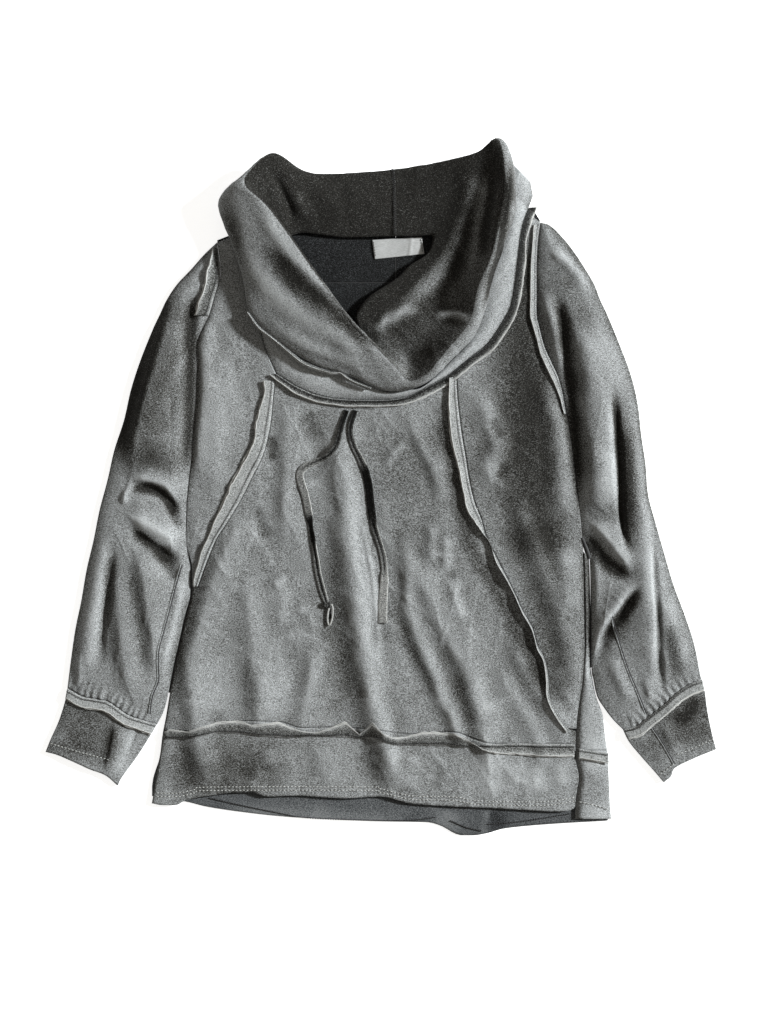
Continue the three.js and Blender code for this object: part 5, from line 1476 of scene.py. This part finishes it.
def build_band():
    outer = band_outer()
    split = int(np.argmax((outer[:, 0] > BAND_SPLIT) & (outer[:, 1] < BAND_SPLIT_LEVEL)))
    starts, ends = [], []
    halves = (outer[:split + 1], BAND_INNER_LEFT), (outer[split:], BAND_INNER_RIGHT)
    for index, (out, inside) in enumerate(halves):
        out = Path(out, smooth=False)
        share = np.linspace(0, 1, int(out.length / BAND_STEP))[index:]
        starts.append(out.at(share))
        ends.append(Path(inside).at(share))
    start, end = np.vstack(starts), np.vstack(ends)
    start = start + unit(end - start) * BAND_FOOT
    u = np.linspace(0, 1, 26)[None, :]
    x = lerp(start[:, :1], end[:, :1], u)
    y = lerp(start[:, 1:], end[:, 1:], u)
    foot = np.where(start[:, 1] > BAND_END, BAND_END_TOP, front_height(start[:, 0], start[:, 1]))[:, None]
    bulge = BAND_BULGE + fine_creases(x, y, 0.9, 27, -0.8)
    z = lerp(foot, BAND_SEAM_TOP, u) + bulge * np.sin(np.pi * u)
    cloth = Cloth()
    # The band's tone is lifted by painted light against the shade of the cowl's lobe
    shell(cloth, raised(x, y, z), wear=wear_of(z) + BAND_PAINTED_LIGHT)
    place(cloth, "collar_band_cloth", FLEECE, "fleece", ["collar_band"])


# Cells between the five points of a section, and rows between two sections
COWL_SPANS = [10, 14, 16, 10]
COWL_SUBSTEPS = 14
COWL_FOOT_CELLS = 5


def cowl_grid():
    knots = np.array(COWL, float).reshape(len(COWL), 5, 3)
    t_row = np.linspace(0, 1, COWL_SUBSTEPS, endpoint=False)[:, None, None]
    count = len(knots)
    rings = np.vstack([
        catmull(*(knots[(i + step) % count][None] for step in (-1, 0, 1, 2)), t_row) for i in range(count)
    ])
    columns = [rings[:, :1]]
    for span, cells in enumerate(COWL_SPANS):
        around = [rings[:, min(max(span + step, 0), 4)][:, None] for step in (-1, 0, 1, 2)]
        t = (np.arange(1, cells + 1) / cells)[None, :, None]
        columns.append(catmull(*around, t))
    return np.concatenate(columns, 1)


def normals_of(grid):
    rows = np.roll(grid, -1, 0) - np.roll(grid, 1, 0)
    padded = np.concatenate([grid[:, :1], grid, grid[:, -1:]], 1)
    return unit(np.cross(rows, padded[:, 2:] - padded[:, :-2]))


def build_cowl():
    grid = cowl_grid()
    normal = normals_of(grid)
    x, y = grid[..., 0], grid[..., 1]
    outside = (np.arange(grid.shape[1]) <= sum(COWL_SPANS[:2]))[None]

    def by_layer(table):
        return np.where(outside, crease_rise(x, y, table, 1), crease_rise(x, y, table, -1))

    across = np.linspace(0, 1, grid.shape[1])
    rise = by_layer(COWL_CREASES) + fine_creases(x, y, 0.9, 33, 0.5)
    rise = rise * np.minimum(1, np.minimum(across, 1 - across) * 9)
    outward = np.where(normal[..., 2:] >= 0, 1, -1)
    grid = grid + normal * outward * rise[..., None]
    normal = normals_of(grid)
    faces = [grid + normal * sign * COWL_WALL / 2 for sign in (1, -1)]
    for face in faces:
        face[..., 2] = np.maximum(face[..., 2], 0)
    # Painted shade over the inner layer, deeper towards the back, and on the free foot tucked under it
    inside_shade = COWL_INSIDE_SHADE + COWL_BACK_SHADE * smoothstep((y - 225) / 55)
    wear = wear_of(rise, 12) + np.where(outside, 0, inside_shade)
    wear[:, -COWL_FOOT_CELLS:] = DARKEST
    wear = np.clip(wear + by_layer(COWL_SHADING), DARKEST, PALEST)
    cloth = Cloth()
    cloth.wall(*faces, closed_rows=True, wear=wear)
    place(cloth, "cowl_cloth", FLEECE, "fleece", ["cowl"])


def build_label():
    """Woven label, sewn at its two ends to the two yoke halves."""
    u = np.linspace(0, 1, 60)[None, :]
    s = np.linspace(0, 1, 24)[:, None]
    x = lerp(lerp(-9.0, 48.0, u), lerp(-6.0, 51.0, u), s)
    y = lerp(lerp(286.0, 289.5, u), lerp(264.0, 270.0, u), s)
    ripple = 0.5 * np.sin(u * 9 + s * 2) * np.sin(np.pi * s)
    fold = 0.5 * np.exp(-(((u - 0.8 + 0.1 * s) / 0.04) ** 2))
    z = BACK_TOP + under_relief(x, y) + 0.35 + LABEL_WALL + ripple + fold
    cloth = Cloth()
    shell(cloth, raised(x, y, np.maximum(z, BACK_TOP + SEAM_GAP + LABEL_WALL)), LABEL_WALL)
    place(cloth, "label_cloth", SATIN, "label_satin", ["label"])
    sewn = Cloth()
    for row in ([(-7.5, 284), (-5, 267)], [(47, 287), (49, 272)]):
        stitches(sewn, row, on_level(BACK_TOP + LABEL_TOP), 2.2, 0.6, 0.35)
    place(sewn, "label_threads", DARK_THREAD, "label_satin")


# Raw seam allowances

ROOT_ASIDE = -0.3
ARMHOLE_ASIDE = -0.6
CUFF_STRIP_SHARE = 0.8
BRIDGE_TOP = 4.6
WRAP_STRIP_TOP = 5.3


def sleeve_bridge(x, y):
    """Height of the allowance that lies from the body's edge onto the left sleeve."""
    return np.maximum(on_sleeve(LEFT_SLEEVE)(x, y), BRIDGE_TOP)


def cowl_seam_sides():
    """Both sides of the raw seam between the cowl and its band, widest in its middle."""
    spot = Path(COWL_SEAM).at(np.linspace(0, 1, 120))
    way = to_right(directions(spot))
    spot = spot + way * 2.2
    return spot, spot + way * 4.0 * np.sin(np.linspace(0.5, 2.7, 120))[:, None]


def cuff_strip_sides(sleeve):
    share = np.linspace(0, 1, 30)
    inner, outer = (Path(sleeve[key]) for key in ("cuff_inner", "cuff_outer"))
    root = Path(sleeve["seam"])
    reach = lerp(inner.at(0.2) - inner.at(0), outer.at(0.2) - outer.at(0), share[:, None])
    return paired(root, Path(root.at(share) + reach * CUFF_STRIP_SHARE, smooth=False))

# Free edge of each raw strip that lies on the front or a sleeve
NECK_FREE = [(-127, 131), (-115, 121), (-97, 108.5), (-72, 99), (-46, 95), (-20, 94), (5, 94), (31, 97),
             (56, 107), (82, 122), (108, 143), (131, 160), (146, 181), (158, 205), (163, 231), (167, 256),
             (168, 282), (173, 303), (180, 323)]
LEFT_PRINCESS_FREE = [
    (-134, 124), (-133, 110), (-140, 90), (-145, 73), (-145, 57), (-151, 43), (-163, 24), (-172, 5),
    (-176, -7), (-189, -33), (-198, -56), (-205, -70), (-213, -99), (-214, -112),
]
RIGHT_PRINCESS_FREE = [
    (79, 127), (78, 100), (81, 59), (86, 38), (90, 22), (94, -1), (99, -23), (107, -36), (117, -50),
    (126, -62), (133, -84), (144, -103), (154, -122), (163, -143), (174, -162), (180, -184), (187, -197),
    (190, -218), (191, -240), (202, -263), (214, -280),
]
LEFT_ARMHOLE_FREE = [(-192, 276), (-196, 259), (-200, 247), (-204, 228), (-210, 212), (-214, 199)]
RIGHT_ARMHOLE_FREE = [(176, 303), (174, 280), (173, 262), (172, 246), (172, 230), (172, 214), (172, 199),
                      (174, 190), (179, 172), (183, 156), (190, 140), (200, 120), (206, 104), (211, 86)]
COWL_SEAM = [(-149, 204), (-136, 187), (-123, 177), (-110, 167), (-97, 156), (-85, 147), (-67, 140),
             (-56, 137), (-44, 136), (-33, 128), (-20, 122), (-9, 118)]
WRAP_STRIP = ((228, -298), (262, -303)), ((228, -309), (262.5, -315))


def long_strips():
    """Strips along the long seams: piece, node, root, free edge, face below, seed, stand and tone.

    The stand is how high the free edge rises at each level of y.
    """
    neck = np.vstack([across_neck(60), down(right_neck, RIGHT_CORNER, BAND_END, 50)[1:]])
    left = down(left_princess, 124, LEFT_TIP, 60, ROOT_ASIDE)
    right = down(right_princess, 129, -276, 90, ROOT_ASIDE)
    left_arm = down(left_edge, 276, 199, 30, ARMHOLE_ASIDE)
    right_arm = down(right_seam, 303, 86, 70, ARMHOLE_ASIDE)
    return [
        ("neck_strip", "neck_strip", neck, NECK_FREE, front_height, 101, [(0, 1.6)], -1.7),
        ("princess_left", "princess_strip_left", left, LEFT_PRINCESS_FREE, front_height, 131, [(0, 1.8)], 0),
        ("princess_right", "princess_strip_right", right, RIGHT_PRINCESS_FREE, front_height, 151,
         [(-232, 1.6), (-205, 5), (-70, 5), (-40, 3)], 0),
        # The left armhole strip's face is darkened: painted shade in the valley between body and sleeve
        ("armhole_left", "armhole_strip_left", left_arm, LEFT_ARMHOLE_FREE, sleeve_bridge, 171,
         [(0, 3)], -1.2),
        ("armhole_right", "armhole_strip_right", right_arm, RIGHT_ARMHOLE_FREE, front_height, 191,
         [(0, 1.6)], 0),
    ]


def build_strips():
    threads = Cloth()

    def strip(name, node, sides, height, seed, **looks):
        cloth = Cloth()
        ribbon(cloth, threads, sides, height, seed, **looks)
        place(cloth, f"{name}_cloth", RAW, "raw_edge", [node] if node else [])

    for name, node, root, free, height, seed, stand, middle in long_strips():
        sides = paired(Path(root, smooth=False), Path(free))
        strip(name, node, sides, height, seed, curl=read_table(sides[0][:, 1], stand), middle=middle)

    # The hem allowance is turned up as far as the twist and turned down beyond it
    x = np.linspace(-247, 223, 277)
    sides = [np.column_stack([x, read_table(x, line)]) for line in (HEM_STITCH, HEM_RAW)]
    # Its face is darkened down the middle: painted shade under the standing waves
    strip("hem_strip", "hem_strip_front", sides, front_height, 211, curl=read_table(x, HEM_CURLS),
          pale=0.8, middle=-1.0)

    for side, sleeve, seed in (("left", LEFT_SLEEVE, 231), ("right", RIGHT_SLEEVE, 251)):
        name = f"cuff_strip_{side}"
        strip(name, name, cuff_strip_sides(sleeve), on_cuff(sleeve), seed, curl=1.4)

    # Two strips without a solid: at the foot of the cowl, and on the part of the back that wraps round
    strip("cowl_strip", None, cowl_seam_sides(), on_level(COWL_SEAM_TOP), 271, top_share=0.6)
    share = np.linspace(0, 1, 24)[:, None]
    sides = [lerp(np.array(start, float), np.array(end, float), share) for start, end in WRAP_STRIP]
    strip("wrap_strip", None, sides, on_level(WRAP_STRIP_TOP), 291)
    place(threads, "overlock_threads", DARK_THREAD, "raw_edge")


# Sewing

HEM_STITCHES = [(-257, -349), (-231, -349), (-213, -345), (-191, -342), (-19, -342), (0, -344), (35, -352),
                (70, -353), (90, -354), (115, -358), (188, -359), (224, -354)]
HEM_ROWS_APART = 4
BACK_HEM_STITCHES = [
    [(-196, -355), (-161, -363), (-117, -372), (-82, -378), (0, -381), (40, -380), (65, -377)],
    [(81, -381), (100, -389), (118, -393)],
    [(124, -385), (162, -382), (219, -373)],
]
BACK_STITCH_TOP = 0.7
LEFT_SLEEVE_SEAM = [(-227, -87), (-234, -112), (-240, -135), (-247, -161), (-253, -184), (-254, -202),
                    (-254, -220), (-261, -238), (-264, -258)]
RIGHT_SLEEVE_SEAM = [(266, -146), (274, -174), (284, -205), (297, -236), (306, -258)]
RIGHT_CUFF_SEAM = [(309, -268), (315, -277), (325, -292), (338, -315)]

# Seams between two pieces, and dark lines laid in the gaps between two pieces: their line, half their width
# and their height.
# The first two rows are the yoke's seams; the last three are painted shadow in the gaps by the sleeves.
SEAMS_AND_GAP_SHADOWS = [
    ([(-149, 237), (-60, 237), (18, 237), (90, 237), (158, 237)], 0.5, 1.7),
    ([(18, 238), (18, 264), (18, 289)], 0.5, 1.7),
    ([(-222.8, -58), (-220, -75), (-217, -90), (-217, -119), (-219, -130), (-224, -148), (-230, -175),
      (-237, -206), (-242.5, -234)], 1.2, 2.2),
    ([(232, -56), (235, -63), (238, -71), (241, -80)], 3.0, 2.6),
    ([(241, -66), (242.4, -100), (242.7, -150), (242.7, -205)], 0.9, 3.6),
]

# Overlocked seam inside the back of the cowl, and its height at three levels
COWL_JOIN = [(15, 367), (16, 350), (16.5, 330), (17, 310), (17, 292)]
COWL_JOIN_TOPS = [(290, 8.0), (330, 10.8), (366, 7.6)]


def build_sewing():
    light, dark, rolls = Cloth(), Cloth(), Cloth()
    right_cuff = on_cuff(RIGHT_SLEEVE)
    light_rows = [
        (HEM_STITCHES, front_height),
        ([(x, y - HEM_ROWS_APART) for x, y in HEM_STITCHES], front_height),
        ([(-379, -292), (-355, -299), (-333, -305), (-310, -311)], on_cuff(LEFT_SLEEVE)),
        ([(340, -305), (361, -297), (384, -286)], right_cuff),
        ([(321, -328), (338, -315)], right_cuff),
        ([(228, -359), (246, -363), (263, -368)], on_level(WRAP_TOP)),
    ]
    for line, height in light_rows:
        stitches(light, line, height)
    for line in BACK_HEM_STITCHES:
        stitches(dark, line, on_level(BACK_TOP + BACK_STITCH_TOP), 2.4, 0.5, 0.7)
    for line, height in ((LEFT_SLEEVE_SEAM, on_sleeve(LEFT_SLEEVE)),
                         (RIGHT_SLEEVE_SEAM, on_sleeve(RIGHT_SLEEVE)),
                         (RIGHT_CUFF_SEAM, right_cuff)):
        seam_line(dark, rolls, line, height)
    # The yoke's seams, and dark lines that paint the shadow in the gaps by the sleeves
    for line, radius, level in SEAMS_AND_GAP_SHADOWS:
        tube(dark, laid(Path(line).at(np.linspace(0, 1, 90)), on_level(level)), radius, 6)
    zigzag(dark, Path(COWL_JOIN), lambda x, y: read_table(y, COWL_JOIN_TOPS), 2.4, 3.4, 0.55, 0.5)
    place(light, "coverstitch_threads", LIGHT_THREAD, "fleece")
    # The dark threads also carry the painted shadow lines in the gaps by the sleeves
    place(dark, "dark_threads_and_gap_shadows", DARK_THREAD, "fleece_inside")
    place(rolls, "seam_rolls", FLEECE, "fleece")


# Floor and light, neither of them a part of the garment

FLOOR_HALF = 20.0
FLOOR_LEVEL = -0.0004
FLOOR_GLOW = 0.75
KEY_POWER = 6.7
KEY_SOFTNESS = 6
KEY_ELEVATION = 27
KEY_AZIMUTH = 18
KEY_COLOUR = (0.975, 1.0, 1.0)
SKY_COLOUR = (1.0, 0.95, 0.86, 1)
SKY_STRENGTH = 0.28


def add_stage():
    mesh = bpy.data.meshes.new("floor")
    signs = (-1, -1), (1, -1), (1, 1), (-1, 1)
    mesh.from_pydata([(x * FLOOR_HALF, y * FLOOR_HALF, FLOOR_LEVEL) for x, y in signs], [], [(0, 1, 2, 3)])
    made = Finish("pale_floor", **{"Base Color": (0.86, 0.86, 0.86, 1), "Roughness": 0.9,
                                   "Emission Color": (1, 1, 1, 1), "Emission Strength": FLOOR_GLOW})
    mesh.materials.append(made.material)
    add_to_scene("floor", mesh)


def add_key():
    """Window light from the right, a little from the neck's side, low over the cloth."""
    data = bpy.data.lights.new("key", "SUN")
    data.energy = KEY_POWER
    data.angle = math.radians(KEY_SOFTNESS)
    data.color = KEY_COLOUR
    key = add_to_scene("key", data)
    key.rotation_euler = (0, math.radians(90 - KEY_ELEVATION), math.radians(KEY_AZIMUTH))


def add_world():
    world = bpy.data.worlds.new("studio")
    world.use_nodes = True
    background = world.node_tree.nodes["Background"]
    background.inputs["Color"].default_value = SKY_COLOUR
    background.inputs["Strength"].default_value = SKY_STRENGTH
    bpy.context.scene.world = world
    bpy.context.scene.view_settings.view_transform = "Standard"


add_camera()
for cord in CORDS:
    add_cord(cord)
build_front()
build_back()
build_sleeve("left", LEFT_SLEEVE)
build_sleeve("right", RIGHT_SLEEVE)
build_band()
build_cowl()
build_label()
build_strips()
build_sewing()
add_stage()
add_key()
add_world()
